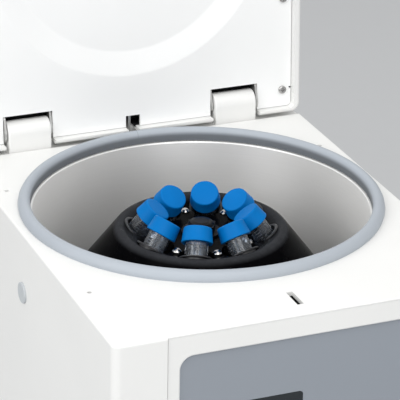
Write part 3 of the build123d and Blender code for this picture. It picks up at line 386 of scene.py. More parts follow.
def turned(name, profile, steps, centre=(0.0, 0.0), angle=30.0, closed=True):
    """A turned piece: the profile of (radius, height) in millimetres spun about an upright axis.

    The centre is in metres. Edges below the angle are shaded smooth.
    """
    points = [(r * MM + centre[0], centre[1], z * MM) for r, z in profile]
    piece = drawn(name, points, closed)
    bpy.ops.mesh.select_all(action="SELECT")
    bpy.ops.mesh.spin(steps=steps, angle=tau, center=(centre[0], centre[1], 0), axis=(0, 0, 1))
    bpy.ops.mesh.select_all(action="SELECT")
    bpy.ops.mesh.remove_doubles(threshold=2e-6)
    bpy.ops.mesh.normals_make_consistent(inside=False)
    bpy.ops.object.mode_set(mode="OBJECT")
    bpy.ops.object.shade_smooth_by_angle(angle=radians(angle))
    return piece


def rounded(profile, radii, count):
    """The profile with its corners rounded by the radii in count steps; a radius of 0 keeps the corner."""
    made = []
    for i, (point, radius) in enumerate(zip(profile, radii)):
        if radius == 0:
            made.append(point)
            continue
        p = Vector(point)
        a = (Vector(profile[i - 1]) - p).normalized()
        b = (Vector(profile[(i + 1) % len(profile)]) - p).normalized()
        half = acos(max(-1.0, min(1.0, a.dot(b)))) / 2
        back = radius / max(1e-6, sin(half) / cos(half))
        start, end = p + a * back, p + b * back
        middle = p + (a + b).normalized() * (radius / sin(half))
        for k in range(count + 1):
            t = k / count
            way = (start - middle).lerp(end - middle, t).normalized()
            made.append(tuple(middle + way * radius))
    return made


def block(name, x0, x1, y0, y1, z0, z1):
    """A block between two corners, in millimetres, as a start for a piece or as a cutting tool."""
    bpy.ops.object.select_all(action="DESELECT")
    centre = at_mm((x0 + x1) / 2, (y0 + y1) / 2, (z0 + z1) / 2)
    bpy.ops.mesh.primitive_cube_add(size=1.0, location=centre, scale=at_mm(x1 - x0, y1 - y0, z1 - z0))
    piece = bpy.context.object
    piece.name = name
    piece.data.name = name
    bpy.ops.object.transform_apply(location=True, rotation=True, scale=True)
    return piece


def pin(name, radius, x, y, z0, z1):
    """An upright round bar, in millimetres."""
    bpy.ops.object.select_all(action="DESELECT")
    bpy.ops.mesh.primitive_cylinder_add(vertices=32, radius=radius * MM, depth=(z1 - z0) * MM,
                                        location=at_mm(x, y, (z0 + z1) / 2))
    piece = bpy.context.object
    piece.name = name
    bpy.ops.object.transform_apply(location=True, rotation=True, scale=True)
    return piece


def bevelled(piece, width, segments, axis):
    """Rounds the edges of the piece that run along the axis: 0, 1 or 2 for X, Y or Z."""
    select_only(piece)
    bpy.ops.object.mode_set(mode="EDIT")
    bpy.ops.mesh.select_mode(type="EDGE")
    bpy.ops.mesh.select_all(action="DESELECT")
    bpy.ops.object.mode_set(mode="OBJECT")
    for edge in piece.data.edges:
        a, b = (piece.data.vertices[i].co for i in edge.vertices)
        edge.select = abs((b - a).normalized()[axis]) > 0.9
    bpy.ops.object.mode_set(mode="EDIT")
    bpy.ops.mesh.bevel(offset=width * MM, segments=segments)
    bpy.ops.mesh.select_mode(type="VERT")
    bpy.ops.object.mode_set(mode="OBJECT")
    return piece


def select_only(piece):
    bpy.ops.object.select_all(action="DESELECT")
    piece.select_set(True)
    bpy.context.view_layer.objects.active = piece


def moved(piece, matrix):
    """Applies a placement to the piece's mesh, so that its object stays at the origin."""
    select_only(piece)
    piece.matrix_world = matrix
    bpy.ops.object.transform_apply(location=True, rotation=True, scale=True)
    return piece


def copied(piece, name, matrix):
    """A copy of the piece with the placement applied."""
    twin = piece.copy()
    twin.data = piece.data.copy()
    twin.name = name
    twin.data.name = name
    bpy.context.scene.collection.objects.link(twin)
    return moved(twin, matrix)


def joined(pieces, name):
    """The pieces as one mesh object."""
    bpy.ops.object.select_all(action="DESELECT")
    for piece in pieces:
        piece.select_set(True)
    bpy.context.view_layer.objects.active = pieces[0]
    bpy.ops.object.join()
    pieces[0].name = name
    pieces[0].data.name = name
    return pieces[0]


def cut_from(piece, tools, operation="DIFFERENCE"):
    """Cuts the tools out of the piece, or adds them to it with UNION, and removes them."""
    for tool in tools:
        select_only(piece)
        cut = piece.modifiers.new("cut", "BOOLEAN")
        cut.operation = operation
        cut.solver = "EXACT"
        cut.object = tool
        bpy.ops.object.modifier_apply(modifier=cut.name)
        bpy.data.objects.remove(tool)
    return piece


def dressed(piece, material):
    """Gives the piece this material alone."""
    piece.data.materials.clear()
    piece.data.materials.append(material)
    return piece


def tube_matrix(index):
    """The frame of one tube: its cap's top at the origin and +Z down along the tube."""
    s = sizes()
    turn = s.first_tube + tau * index / TUBE_COUNT
    place = Matrix.Translation((0, s.rotor_y, 0)) @ Matrix.Rotation(turn, 4, "Z")
    place = place @ Matrix.Translation(at_mm(TUBE_RING_R, 0, s.deck_z / MM - CAP_DROP))
    return place @ Matrix.Rotation(-s.tube_tilt, 4, "Y") @ Matrix.Rotation(pi, 4, "X")


def lid_matrix():
    """Turns a piece drawn on the closed lid to the open lid."""
    s = sizes()
    hinge = Matrix.Translation((0, s.hinge_y, s.hinge_z))
    return hinge @ Matrix.Rotation(-s.lid_open, 4, "X") @ hinge.inverted()


# ---------------------------------------------------------------- operators

class CENTRIFUGE_OT_solids(bpy.types.Operator):
    """Give every carried-over solid its finish and smooth shading"""
    bl_idname = "centrifuge.solids"
    bl_label = "Dress solids"

    def execute(self, context):
        c = colours()
        finishes = {
            "white_cover": moulded("cover_white", c.cover, 0.42),
            "zinc_steel": plated("zinc_steel", (0.50, 0.50, 0.49), 0.42),
            "shaft_steel": plated("ground_steel", (0.42, 0.42, 0.42), 0.3, streak=(900.0, 60.0, 900.0)),
            "screw_steel": plated("bright_screw", (0.52, 0.51, 0.50), 0.16, depth=0.000002),
            "black_plastic": moulded("black_moulding", (0.016, 0.016, 0.018), 0.5, mottling=0.1),
            "black_rubber": rubber("black_rubber", (0.022, 0.022, 0.024), 0.72),
            "panel_grey": moulded("panel_film", c.panel, 0.5, grain=2200.0, mottling=0.015),
            "board_green": moulded("board_green", (0.02, 0.12, 0.06), 0.4, grain=500.0),
            "window_clear": self.window(),
            "plug_grey": moulded("plug_light", c.plug, 0.42),
            "motor_grey": moulded("motor_paint", (0.10, 0.11, 0.12), 0.5, grain=600.0),
            "gasket_grey": rubber("seal_rubber", c.gasket, 0.5),
            "bowl_steel": plated("bowl_plain", c.bowl, 0.35),
            "rotor_black": moulded("rotor_plain", c.rotor, 0.25),
            "nut_black": moulded("nut_gloss", (0.004, 0.004, 0.005), 0.34, grain=900.0, specular_ior_level=0.1),
            "sleeve_natural": moulded("sleeve_plain", c.sleeve, 0.4),
            "tube_clear": moulded("tube_plain", c.tube, 0.2),
            "cap_blue": moulded("cap_plain", c.cap, 0.42),
        }
        slots = {row["node"]: row["material_slot"] for row in frame["record"]["subparts"]}
        own = {
            "lid_hinge_arms": self.arms(),
            "lid_shell": self.lid_cover(),
            "start_key": self.key("start_key_print", c.start, self.play_mark),
            "stop_key": self.key("stop_key_print", c.stop, self.stop_mark),
            "lid_key": self.key("lid_key_print", c.light_key, self.lid_mark),
            "set_rocker": self.key("set_rocker_print", c.light_key, self.set_mark),
        }
        for name, solid in frame["nodes"].items():
            dressed(solid, own[name] if name in own else finishes[slots[name]])
            solid.data.polygons.foreach_set("use_smooth", [True] * len(solid.data.polygons))
            weld = solid.modifiers.new("weld", "WELD")
            weld.merge_threshold = 2e-6
            split = solid.modifiers.new("creases", "EDGE_SPLIT")
            split.split_angle = radians(18)
            flat = solid.modifiers.new("flat_faces", "WEIGHTED_NORMAL")
            flat.weight = 50
        return {"FINISHED"}

    def window(self):
        """Dark glossy window with a faint smear."""
        finish = Finish("window", (0.008, 0.012, 0.016), 0.08)
        finish.set("Roughness", 0.05 + 0.08 * finish.noise(finish.place(), 40.0, 3.0))
        return finish.material

    def lid_cover(self):
        """White cover whose hollow, between the lid's two skins, is painted near black as shade."""
        s = sizes()
        base = colours().cover
        finish = Finish("lid_cover_white", base, 0.42)
        place = finish.place()
        x, y, z = finish.split(place)
        y, z = y - s.hinge_y, z - s.hinge_z
        turn = s.lid_open
        back = y * cos(turn) - z * sin(turn) + s.hinge_y
        height = y * sin(turn) + z * cos(turn) + s.hinge_z
        # Painted shade: the hollow between the skins is coloured near black, standing in for the shadow inside
        # it.
        hollow_shade = (height > s.deck_z + HOLLOW_LOW) * (height < s.deck_z + HOLLOW_HIGH)
        hollow_shade = hollow_shade * (abs(x) < HOLLOW_HALF) * (back > HOLLOW_FRONT) * (back < HOLLOW_BACK)
        broad = finish.noise(place, 14.0, 3.0)
        tone = finish.mix(broad, scaled(base, 0.97), scaled(base, 1.03))
        finish.set("Base Color", finish.mix(hollow_shade, tone, (0.012, 0.012, 0.013)))
        finish.set("Roughness", 0.38 + 0.08 * broad + 0.3 * hollow_shade)
        finish.bump(finish.noise(place, 1400.0, 2.0), 0.35, 0.000012)
        return finish.material

    def arms(self):
        """Zinc ears on a plate painted black as shade where it goes into the lid's hollow."""
        s = sizes()
        finish = Finish("arm_steel", (0.5, 0.5, 0.49), 0.42, metallic=1.0)
        place = finish.place()
        height = finish.split(place)[2]
        cloud = finish.noise(place, 60.0, 3.0)
        # Painted shade: above this height the plate is made black and not metallic, standing in for the shade
        # in the lid's hollow.
        plate_shade = finish.ramp(height, s.hinge_z + 0.0135, s.hinge_z + 0.0155)
        zinc = finish.mix(cloud, (0.44, 0.44, 0.43), (0.54, 0.54, 0.53))
        finish.set("Base Color", finish.mix(plate_shade, zinc, (0.02, 0.02, 0.021)))
        finish.set("Metallic", 1.0 - plate_shade)
        finish.set("Roughness", 0.36 + 0.12 * cloud)
        finish.bump(cloud, 0.2, 0.000008)
        return finish.material

    def key(self, name, base, mark):
        """Moulded key with a printed mark."""
        finish = Finish(name, base, 0.42)
        place = finish.place()
        x, y, z = finish.split(place)
        cloud = finish.noise(place, 120.0, 3.0)
        fine = finish.noise(place, 1600.0, 2.0)
        tone = finish.mix(cloud, scaled(base, 0.95), scaled(base, 1.05))
        ink = (0.86, 0.87, 0.88) if sum(base) < 1.2 else (0.06, 0.07, 0.08)
        front = y < KEY_FACE_Y
        finish.set("Base Color", finish.mix(mark(x, z) * front, tone, ink))
        finish.set("Roughness", 0.38 + 0.1 * cloud)
        finish.bump(fine, 0.3, 0.00001)
        return finish.material

    def play_mark(self, x, z):
        """A triangle that points to the right."""
        return (x > START_X - 0.0022) * (abs(z - KEY_Z) < (START_X + 0.0032 - x) * 0.6)

    def stop_mark(self, x, z):
        """A square."""
        return (abs(x - STOP_X) < 0.0024) * (abs(z - KEY_Z) < 0.0024)

    def lid_mark(self, x, z):
        """A triangle that points up, over a bar."""
        triangle = (abs(x - LID_KEY_X) < (KEY_Z + 0.0032 - z) * 1.1) * (z > KEY_Z - 0.0002)
        bar = (abs(x - LID_KEY_X) < 0.0036) * (abs(z - KEY_Z + 0.0022) < 0.0006)
        return triangle + bar

    def set_mark(self, x, z):
        """A minus on the left end and a plus on the right."""
        level = (abs(abs(x - SET_X) - 0.010) < 0.0022) * (abs(z - SET_Z) < 0.0004)
        upright = (abs(x - SET_X - 0.010) < 0.0004) * (abs(z - SET_Z) < 0.0022)
        return level + upright


class CENTRIFUGE_OT_gasket(bpy.types.Operator):
    """Model the rubber seal round the chamber"""
    bl_idname = "centrifuge.gasket"
    bl_label = "Chamber gasket"

    # The glued joint at the back, and the radii between which the lip gets its painted shade, in metres.
    JOINT_X = -0.002
    LIP_PAINTED_SHADE = (0.1206, 0.1219)

    def execute(self, context):
        s = sizes()
        z = s.deck_z / MM
        outline = [(SEAL_R, z + 0.02), (OPENING_R, z + 0.02), (OPENING_R, z - 2.3), (SEAL_LIP_R + 0.2, z - 2.3),
                   (SEAL_LIP_R, z), (SEAL_LIP_R, z + 2.4), (120.45, z + 4.4), (121.3, z + 5.9),
                   (122.5, z + 6.8), (123.8, z + 7.07), (125.2, z + 6.85), (126.6, z + 6.1),
                   (127.8, z + 4.8), (SEAL_R, z + 3.2), (SEAL_R + 0.35, z + 1.6)]
        seal = turned("chamber_gasket_skin", outline, s.around, (0, s.rotor_y), 55.0)
        finish = Finish("seal_rubber_ring", colours().gasket, 0.5, specular_ior_level=0.4)
        place = finish.place()
        x, y, _ = finish.split(place)
        _, radius, height = finish.round_axis()
        broad = finish.noise(place, 22.0, 3.0)
        fine = finish.noise(place, 900.0, 2.0)
        joint = (abs(x - self.JOINT_X) < 0.00015) * (y > 0.0)
        # Painted shade: the inner face of the lip, low down towards the bowl, is darkened to stand in for the
        # shade under the seal.
        lip_painted_shade = finish.ramp(radius + (height - s.deck_z) * 0.3, *self.LIP_PAINTED_SHADE)
        tone = finish.mix(broad, scaled(colours().gasket, 0.94), scaled(colours().gasket, 1.05))
        tone = finish.mix(lip_painted_shade, scaled(colours().gasket, 0.42), tone)
        finish.set("Base Color", finish.mix(joint * 0.6, tone, scaled(colours().gasket, 0.4)))
        finish.set("Roughness", 0.44 + 0.12 * broad)
        finish.bump(fine - 3.0 * joint, 0.35, 0.00001)
        dressed(seal, finish.material)
        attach(seal, "housing")
        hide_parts("chamber_gasket")
        return {"FINISHED"}


class CENTRIFUGE_OT_bowl(bpy.types.Operator):
    """Model the spun stainless bowl"""
    bl_idname = "centrifuge.bowl"
    bl_label = "Chamber bowl"

    def execute(self, context):
        s = sizes()
        z = s.deck_z / MM
        top, floor, neck = z - BOWL_FLANGE, z - BOWL_DEPTH, z - BOWL_DEPTH + BOWL_NECK
        sheet, under = BOWL_SHEET, top - 1.18
        corners = [(BOWL_FLANGE_R, top), (BOWL_R, top), (BOWL_R, floor), (BOWL_NECK_R, floor),
                   (BOWL_NECK_R, neck), (BOWL_NECK_R - sheet, neck), (BOWL_NECK_R - sheet, floor - sheet),
                   (BOWL_R + sheet, floor - sheet), (BOWL_R + sheet, under), (BOWL_FLANGE_R, under)]
        radii = [0, 1.0, 14.0, 2.0, 0, 0, 3.0, 15.2, 0, 0]
        bowl = turned("chamber_bowl_skin", rounded(corners, radii, 6), s.around, (0, s.rotor_y), 35.0)
        finish = Finish("spun_stainless", colours().bowl, 0.4, metallic=0.6,
                        anisotropic=0.7, anisotropic_rotation=0.25)
        place = finish.place()
        turn, radius, height = finish.round_axis()
        fine = finish.noise(finish.join(turn * 5.0, radius * 2600.0, height * 2600.0), 1.0, 4.0, 0.6)
        grit = finish.noise(place, 1500.0, 2.0)
        cloud = finish.noise(place, 11.0, 2.0)
        base = colours().bowl
        finish.set("Base Color", finish.mix(fine, scaled(base, 0.94), scaled(base, 1.03)))
        finish.set("Roughness", 0.36 + 0.06 * fine + 0.05 * cloud)
        finish.bump(fine * 0.4 + grit * 0.6, 0.2, 0.00001)
        dressed(bowl, finish.material)
        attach(bowl, "housing")
        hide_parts("chamber_bowl")
        return {"FINISHED"}


class CENTRIFUGE_OT_rotor(bpy.types.Operator):
    """Model the black rotor with its eight slanted bores"""
    bl_idname = "centrifuge.rotor"
    bl_label = "Rotor"

    # The painted highlight on the rim's top: the depths below the deck between which it comes in, in metres.
    RIM_PAINTED_HIGHLIGHT = (0.0205, 0.0178)
    RIM_PAINTED_HIGHLIGHT_TONE = (0.042, 0.044, 0.049)

    def execute(self, context):
        s = sizes()
        z = s.deck_z / MM
        dish, low, roof, hub = z - DISH_DEPTH, z - ROTOR_DEPTH, z - ROTOR_ROOF, z - ROTOR_HUB
        outline = [(SPINDLE_R, dish), (DISH_R, dish), (53.5, z - 18.6), (54.9, z - 17.7), (56.6, z - 17.2),
                   (58.6, z - 17.2), (60.4, z - 17.9), (61.7, z - 19.1), (ROTOR_R - 1, z - 83.0),
                   (ROTOR_R, z - 86.0), (ROTOR_R, low + 5), (ROTOR_R - 5, low), (ROTOR_R - 18, low),
                   (45.0, roof), (ROTOR_HUB_R + 4, roof), (ROTOR_HUB_R, hub), (SPINDLE_R, hub)]
        radii = [0, 6.0, 2.0, 0, 0, 0, 0, 1.5, 2.0, 0, 1.0, 1.0, 1.0, 2.0, 2.0, 0, 0]
        body = turned("rotor_body_skin", rounded(outline, radii, 3), s.around, (0, s.rotor_y), 40.0)
        tools = []
        for index in range(TUBE_COUNT):
            bore = turned("bore", [(0, -2), (COUNTERBORE_R, -2), (COUNTERBORE_R, COUNTERBORE),
                                   (BORE_R, COUNTERBORE), (BORE_R, BORE_STRAIGHT), (2.6, BORE_END),
                                   (0, BORE_END)], 48, closed=False)
            tools.append(moved(bore, tube_matrix(index)))
        cut_from(body, tools)
        select_only(body)
        bpy.ops.object.shade_smooth_by_angle(angle=radians(32))
        finish = Finish("rotor_black_coat", colours().rotor, 0.2, specular_ior_level=0.012)
        place = finish.place()
        turn, radius, height = finish.round_axis()
        lines = finish.noise(finish.join(turn * 3.0, radius * 1800.0, height * 1800.0), 1.0, 3.0)
        dust = finish.noise(place, 240.0, 4.0, 0.7)
        specks = (dust > 0.66) * 0.5
        # Painted highlight: the rim's top is made lighter to stand in for the gloss on it, uneven with the dust
        # noise.
        rim_painted_highlight = finish.ramp(height, s.deck_z - self.RIM_PAINTED_HIGHLIGHT[0], s.deck_z - self.RIM_PAINTED_HIGHLIGHT[1])
        tone = finish.mix(rim_painted_highlight * (0.4 + 0.6 * dust), colours().rotor, self.RIM_PAINTED_HIGHLIGHT_TONE)
        finish.set("Base Color", finish.mix(specks * 0.15, tone, (0.05, 0.05, 0.055)))
        finish.set("Roughness", 0.19 + 0.10 * lines + 0.15 * specks)
        finish.bump(lines, 0.25, 0.000008)
        dressed(body, finish.material)
        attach(body, "rotor")
        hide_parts("rotor_body")
        return {"FINISHED"}


class CENTRIFUGE_OT_sleeves(bpy.types.Operator):
    """Model the eight tube sleeves with their flanges"""
    bl_idname = "centrifuge.sleeves"
    bl_label = "Tube sleeves"

    def execute(self, context):
        outline = [(10.2, SLEEVE_TOP), (SLEEVE_FLANGE_R, SLEEVE_TOP), (SLEEVE_FLANGE_R, SLEEVE_SEAT),
                   (SLEEVE_R, SLEEVE_SEAT), (SLEEVE_R, 99.0), (5.6, SLEEVE_END), (4.6, SLEEVE_END),
                   (SLEEVE_BORE_R, 97.5), (SLEEVE_BORE_R, SLEEVE_TOP + 4)]
        radii = [0.5, 0.35, 0.3, 0, 0, 0, 0, 0, 1.5]
        first = turned("sleeve", rounded(outline, radii, 3), 72, angle=32.0)
        copies = [copied(first, "sleeve_copy", tube_matrix(i)) for i in range(TUBE_COUNT)]
        bpy.data.objects.remove(first)
        sleeves = joined(copies, "tube_sleeves_skin")
        finish = Finish("natural_plastic", colours().sleeve, 0.36)
        cloud = finish.noise(finish.place(), 90.0, 3.0)
        base = colours().sleeve
        finish.set("Base Color", finish.mix(cloud, scaled(base, 0.9), scaled(base, 1.1)))
        finish.set("Roughness", 0.3 + 0.12 * cloud)
        dressed(sleeves, finish.material)
        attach(sleeves, "rotor")
        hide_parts("tube_sleeves")
        return {"FINISHED"}


def wrap_map(piece):
    """A UV map with the turn round the tube, 0 to 1, and the length along it in decimetres."""
    layer = piece.data.uv_layers.new(name="wrap")
    for face in piece.data.polygons:
        turns = []
        for corner in face.loop_indices:
            p = piece.data.vertices[piece.data.loops[corner].vertex_index].co
            turns.append(atan2(p.y, p.x) / tau % 1.0)
        if max(turns) - min(turns) > 0.5:
            turns = [t + 1.0 if t < 0.5 else t for t in turns]
        for corner, turn in zip(face.loop_indices, turns):
            p = piece.data.vertices[piece.data.loops[corner].vertex_index].co
            layer.data[corner].uv = (turn, p.z * 10.0)


class CENTRIFUGE_OT_tubes(bpy.types.Operator):
    """Model the eight clear graduated tubes"""
    bl_idname = "centrifuge.tubes"
    bl_label = "Tubes"

    # Where the middles of the printed scale and label lie round the tube, in turns.
    SCALE_TURN = 0.25
    LABEL_TURN = 0.62

    def execute(self, context):
        outline = [(0, TUBE_END), (1.6, TUBE_END), (2.4, 118.8), (TUBE_R, TUBE_STRAIGHT), (TUBE_R, TUBE_MOUTH),
                   (TUBE_BORE_R, TUBE_MOUTH), (TUBE_BORE_R, TUBE_STRAIGHT - 0.4), (1.5, TUBE_FLOOR),
                   (0, TUBE_FLOOR)]
        radii = [0, 0.5, 1.0, 4.0, 0.2, 0.2, 4.0, 0.5, 0]
        first = turned("tube", rounded(outline, radii, 4), 64, angle=40.0, closed=False)
        wrap_map(first)
        material = self.clear()
        for index in range(TUBE_COUNT):
            tube = copied(first, f"tube_{index + 1}_skin", tube_matrix(index))
            dressed(tube, material)
            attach(tube, f"tube_place_{index + 1}")
            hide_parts(f"tube_{index + 1}")
        bpy.data.objects.remove(first)
        return {"FINISHED"}

    def clear(self):
        """Clear plastic with a printed scale of plain ticks and an empty label."""
        base = colours().tube
        finish = Finish("tube_clear", base, 0.1, ior=1.45, transmission_weight=0.98)
        wrap = finish.node("ShaderNodeUVMap", {"uv_map": "wrap"})
        turn, along, _ = finish.split(wrap)
        haze = finish.noise(finish.place(), 70.0, 3.0)
        fine = (along * 50.0 % 1.0 < 0.18) * (abs(turn - self.SCALE_TURN) < 0.035)
        label = (abs(turn - self.LABEL_TURN) < 0.05) * (along > 0.30) * (along < 0.62)
        tick = (along > 0.13) * (along < 0.95) * fine
        printed = finish.node("ShaderNodeMath", {"operation": "MAXIMUM"}, {0: tick, 1: label})
        finish.set("Base Color", finish.mix(printed, base, (0.85, 0.87, 0.9)))
        finish.set("Roughness", 0.07 + 0.08 * haze + 0.4 * printed)
        return finish.material


class CENTRIFUGE_OT_caps(bpy.types.Operator):
    """Model the eight blue screw caps with their fine ribs"""
    bl_idname = "centrifuge.caps"
    bl_label = "Tube caps"

    def execute(self, context):
        thread_r = TUBE_R + 0.05
        outline = [(0, 0), (CAP_TOP_R, 0), (10.05, 2.0), (10.9, 9.6), (CAP_R, 9.9), (CAP_R, CAP_HEIGHT),
                   (thread_r, CAP_HEIGHT), (thread_r, CAP_ROOF), (0, CAP_ROOF)]
        radii = [0, 1.1, 0, 0, 0, 0.3, 0.2, 0, 0]
        first = turned("cap", rounded(outline, radii, 4), CAP_RIBS, angle=34.0, closed=False)
        self.ribs(first)
        finish = Finish("cap_blue", colours().cap, 0.4, specular_ior_level=0.08)
        place = finish.place()
        cloud = finish.noise(place, 60.0, 3.0)
        fine = finish.noise(place, 1200.0, 2.0)
        base = colours().cap
        finish.set("Base Color", finish.mix(cloud, scaled(base, 0.9), scaled(base, 1.08)))
        finish.set("Roughness", 0.40 + 0.12 * cloud)
        finish.bump(fine, 0.3, 0.00001)
        for index in range(TUBE_COUNT):
            cap = copied(first, f"tube_cap_{index + 1}_skin", tube_matrix(index))
            dressed(cap, finish.material)
            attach(cap, f"tube_place_{index + 1}")
            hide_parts(f"tube_cap_{index + 1}")
        bpy.data.objects.remove(first)
        return {"FINISHED"}

    def ribs(self, cap):
        """Sets every second line of the cap's side back, below its rounded top."""
        for vertex in cap.data.vertices:
            r = hypot(vertex.co.x, vertex.co.y)
            side = r > (CAP_TOP_R + 0.1) * MM and 1.5 * MM < vertex.co.z < 9.8 * MM
            if side and round(atan2(vertex.co.y, vertex.co.x) / tau * CAP_RIBS) % 2:
                vertex.co.x *= 1 - CAP_RIB_DEPTH * MM / r
                vertex.co.y *= 1 - CAP_RIB_DEPTH * MM / r


class CENTRIFUGE_OT_lid_panel(bpy.types.Operator):
    """Model the lid's inner skin with its dished middle and hinge cut-outs"""
    bl_idname = "centrifuge.lid_panel"
    bl_label = "Lid inner panel"

    def execute(self, context):
        s = sizes()
        low = s.deck_z / MM + SKIN_LIFT
        high = low + SKIN_SHEET
        centre = (0, s.rotor_y)
        panel = block("lid_inner_panel_skin", -SKIN_HALF, SKIN_HALF, SKIN_FRONT, SKIN_BACK, low, high)
        bevelled(panel, SKIN_CORNER_R, 8, 2)
        inner, outer = PAN_SLOPE
        pan = rounded([(0, high + PAN_DEPTH), (inner, high + PAN_DEPTH), (outer, high), (109.0, high - 0.8),
                       (0, high - 0.8)], [0, 10, 10, 0, 0], 5)
        inner, outer = DISH_SLOPE
        dish = rounded([(0, low + PAN_DEPTH), (inner, low + PAN_DEPTH), (outer, low), (112.0, low),
                        (112.0, low - 1), (0, low - 1)], [0, 10, 10, 0, 0, 0], 5)
        cut_from(panel, [turned("pan", pan, s.around, centre, closed=False)], "UNION")
        tools = [turned("dish", dish, s.around, centre, closed=False)]
        for side in (-1, 1):
            left, right = sorted(x * side for x in CUTOUT)
            tools.append(block("hinge_cutout", left, right, CUTOUT_FRONT, 160.0, low - 1, high + 7))
            left, right = sorted(x * side for x in EDGE_NOTCH)
            tools.append(block("edge_notch", left, right, 140.8, 142.4, low - 1, high + 1))
            for y in SCREW_ROWS:
                tools.append(pin("screw_pass", SCREW_PASS_R, SCREW_X * side, y, low - 1, high + 1))
        tools.append(block("sensor_notch", -5.4, 6.0, 147.2, 160.0, low - 1, high + 1))
        tools.append(block("striker_slot", -1.8, 1.8, -160.8, -146.2, low - 1, high + 1))
        cut_from(panel, tools)
        select_only(panel)
        bpy.ops.object.shade_smooth_by_angle(angle=radians(25))
        moved(panel, lid_matrix())
        # Painted light: the skin's lighter white stands in for the light falling on the lid.
        dressed(panel, moulded("lid_white_painted_light", colours().lid, 0.42))
        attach(panel, "lid")
        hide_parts("lid_inner_panel")
        return {"FINISHED"}


class CENTRIFUGE_OT_display(bpy.types.Operator):
    """Model the figures of the display from bevelled bars"""
    bl_idname = "centrifuge.display"
    bl_label = "Display figures"

    # The seven bars are lettered a to g from the top round to the right, with g in the middle.
    BARS = {"0": "abcdef", "1": "bc", "4": "bcfg", "5": "acdfg"}
    # Speed and minutes: text, left end, foot and height in millimetres.
    READINGS = (("4000", -69.0, 146.0, 20.0), ("15", -23.0, 150.0, 13.0))
    BAR_FRONT, BAR_BACK = -175.56, -175.4

    def execute(self, context):
        bars = []
        for text, left, low, tall in self.READINGS:
            for place, figure in enumerate(text):
                bars += self.figure(figure, left + place * tall * 0.58, low, tall)
        digits = joined(bars, "display_figures")
        finish = Finish("lit_figures", colours().digits, 0.4, emission_strength=0.35)
        glow = finish.noise(finish.place(), 200.0, 2.0)
        shade = finish.mix(glow, scaled(colours().digits, 0.92), scaled(colours().digits, 1.08))
        finish.set("Base Color", shade)
        finish.set("Emission Color", shade)
        dressed(digits, finish.material)
        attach(digits, "housing")
        return {"FINISHED"}

    def figure(self, figure, left, low, tall):
        """The bars of one figure."""
        wide, thick, gap = tall * 0.44, tall * 0.09, 0.25
        half = tall / 2
        spans = {"a": (gap, wide - gap, tall - thick, tall), "d": (gap, wide - gap, 0, thick),
                 "g": (gap, wide - gap, half - thick / 2, half + thick / 2),
                 "b": (wide - thick, wide, half + gap, tall - gap), "c": (wide - thick, wide, gap, half - gap),
                 "e": (0, thick, gap, half - gap), "f": (0, thick, half + gap, tall - gap)}
        bars = []
        for bar in self.BARS[figure]:
            x0, x1, z0, z1 = spans[bar]
            piece = block("bar", left + x0, left + x1, self.BAR_FRONT, self.BAR_BACK, low + z0, low + z1)
            bars.append(bevelled(piece, thick * 0.3, 2, 1))
        return bars


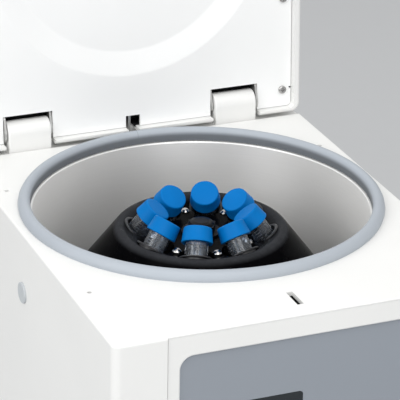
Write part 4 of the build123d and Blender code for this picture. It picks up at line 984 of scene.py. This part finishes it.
class CENTRIFUGE_OT_stage(bpy.types.Operator):
    """Lay the floor, hang the lamps and place the camera"""
    bl_idname = "centrifuge.stage"
    bl_label = "Stage"

    # Name, place in metres, size in metres and power in watts.
    LAMPS = (("side", (-1.7, -0.5, 1.3), 1.2, 15.0),
             ("front", (-0.2, -2.2, 0.8), 1.2, 6.0),
             ("top", (-0.1, -0.7, 1.3), 0.8, 6.5))
    WORLD_STRENGTH = 0.74

    def execute(self, context):
        self.floor()
        self.lamps()
        self.camera()
        return {"FINISHED"}

    def floor(self):
        """A wide floor, so that no edge of it shows from any side."""
        bpy.ops.object.select_all(action="DESELECT")
        bpy.ops.mesh.primitive_plane_add(size=40.0, location=(0, 0, 0))
        sheet = bpy.context.object
        sheet.name = "floor"
        finish = Finish("floor_paper", colours().floor, 0.9)
        grain = finish.noise(finish.place(), 60.0, 3.0)
        base = colours().floor
        finish.set("Base Color", finish.mix(grain, scaled(base, 0.99), scaled(base, 1.01)))
        dressed(sheet, finish.material)

    def lamps(self):
        """White world light and three lamps aimed at the casing."""
        scene = bpy.context.scene
        scene.view_settings.view_transform = "Standard"
        world = bpy.data.worlds.new("studio")
        scene.world = world
        world.use_nodes = True
        shade = next(n for n in world.node_tree.nodes if n.type == "BACKGROUND")
        shade.inputs["Color"].default_value = (1.0, 1.0, 1.0, 1.0)
        shade.inputs["Strength"].default_value = self.WORLD_STRENGTH
        for name, place, size, power in self.LAMPS:
            lamp = bpy.data.lights.new(name, "AREA")
            lamp.shape = "SQUARE"
            lamp.size = size
            lamp.energy = power
            body = bpy.data.objects.new(name, lamp)
            scene.collection.objects.link(body)
            body.location = place
            aim = Vector((0, 0, 0.25)) - Vector(place)
            body.rotation_euler = aim.to_track_quat("-Z", "Y").to_euler()

    def camera(self):
        """The photo's point of view: a direction from the rotor's axis at deck height, and two small shifts."""
        s = sizes()
        azimuth, elevation, roll = radians(-22.46), radians(24.01), radians(0.98)
        distance, shift_right, shift_up = 1.73419, 0.00106, -0.00203
        back = Vector((sin(azimuth) * cos(elevation), -cos(azimuth) * cos(elevation), sin(elevation)))
        level = (-back).cross(Vector((0, 0, 1))).normalized()
        rise = level.cross(-back)
        right = level * cos(roll) + rise * sin(roll)
        up = rise * cos(roll) - level * sin(roll)
        spot = Vector((0, s.rotor_y, s.deck_z)) - right * shift_right - up * shift_up + back * distance
        lens = bpy.data.cameras.new("camera")
        lens.sensor_width = 36.0
        lens.lens = 221.9
        lens.clip_start = 0.05
        eye = bpy.data.objects.new("camera", lens)
        bpy.context.scene.collection.objects.link(eye)
        turn = Matrix((right, up, back)).transposed().to_4x4()
        eye.matrix_world = Matrix.Translation(spot) @ turn
        bpy.context.scene.camera = eye


class CENTRIFUGE_PT_panel(bpy.types.Panel):
    """Lists the steps that build the dressed centrifuge"""
    bl_idname = "CENTRIFUGE_PT_panel"
    bl_label = "Clinical Centrifuge"
    bl_space_type = "VIEW_3D"
    bl_region_type = "UI"
    bl_category = "Centrifuge"

    def draw(self, context):
        layout = self.layout
        for operator in OPERATORS:
            layout.operator(operator.bl_idname)
        for group in (context.scene.centrifuge_sizes, context.scene.centrifuge_colours):
            column = layout.column()
            for name in group.__annotations__:
                column.prop(group, name)


OPERATORS = (
    CENTRIFUGE_OT_solids,
    CENTRIFUGE_OT_gasket,
    CENTRIFUGE_OT_bowl,
    CENTRIFUGE_OT_rotor,
    CENTRIFUGE_OT_sleeves,
    CENTRIFUGE_OT_tubes,
    CENTRIFUGE_OT_caps,
    CENTRIFUGE_OT_lid_panel,
    CENTRIFUGE_OT_display,
    CENTRIFUGE_OT_stage,
)
CLASSES = (CentrifugeSizes, CentrifugeColours, *OPERATORS, CENTRIFUGE_PT_panel)


def register():
    for item in CLASSES:
        bpy.utils.register_class(item)
    bpy.types.Scene.centrifuge_sizes = bpy.props.PointerProperty(type=CentrifugeSizes)
    bpy.types.Scene.centrifuge_colours = bpy.props.PointerProperty(type=CentrifugeColours)


def unregister():
    del bpy.types.Scene.centrifuge_colours
    del bpy.types.Scene.centrifuge_sizes
    for item in reversed(CLASSES):
        bpy.utils.unregister_class(item)


def main():
    register()
    for operator in OPERATORS:
        group, name = operator.bl_idname.split(".")
        getattr(getattr(bpy.ops, group), name)()


if __name__ == "__main__":
    main()
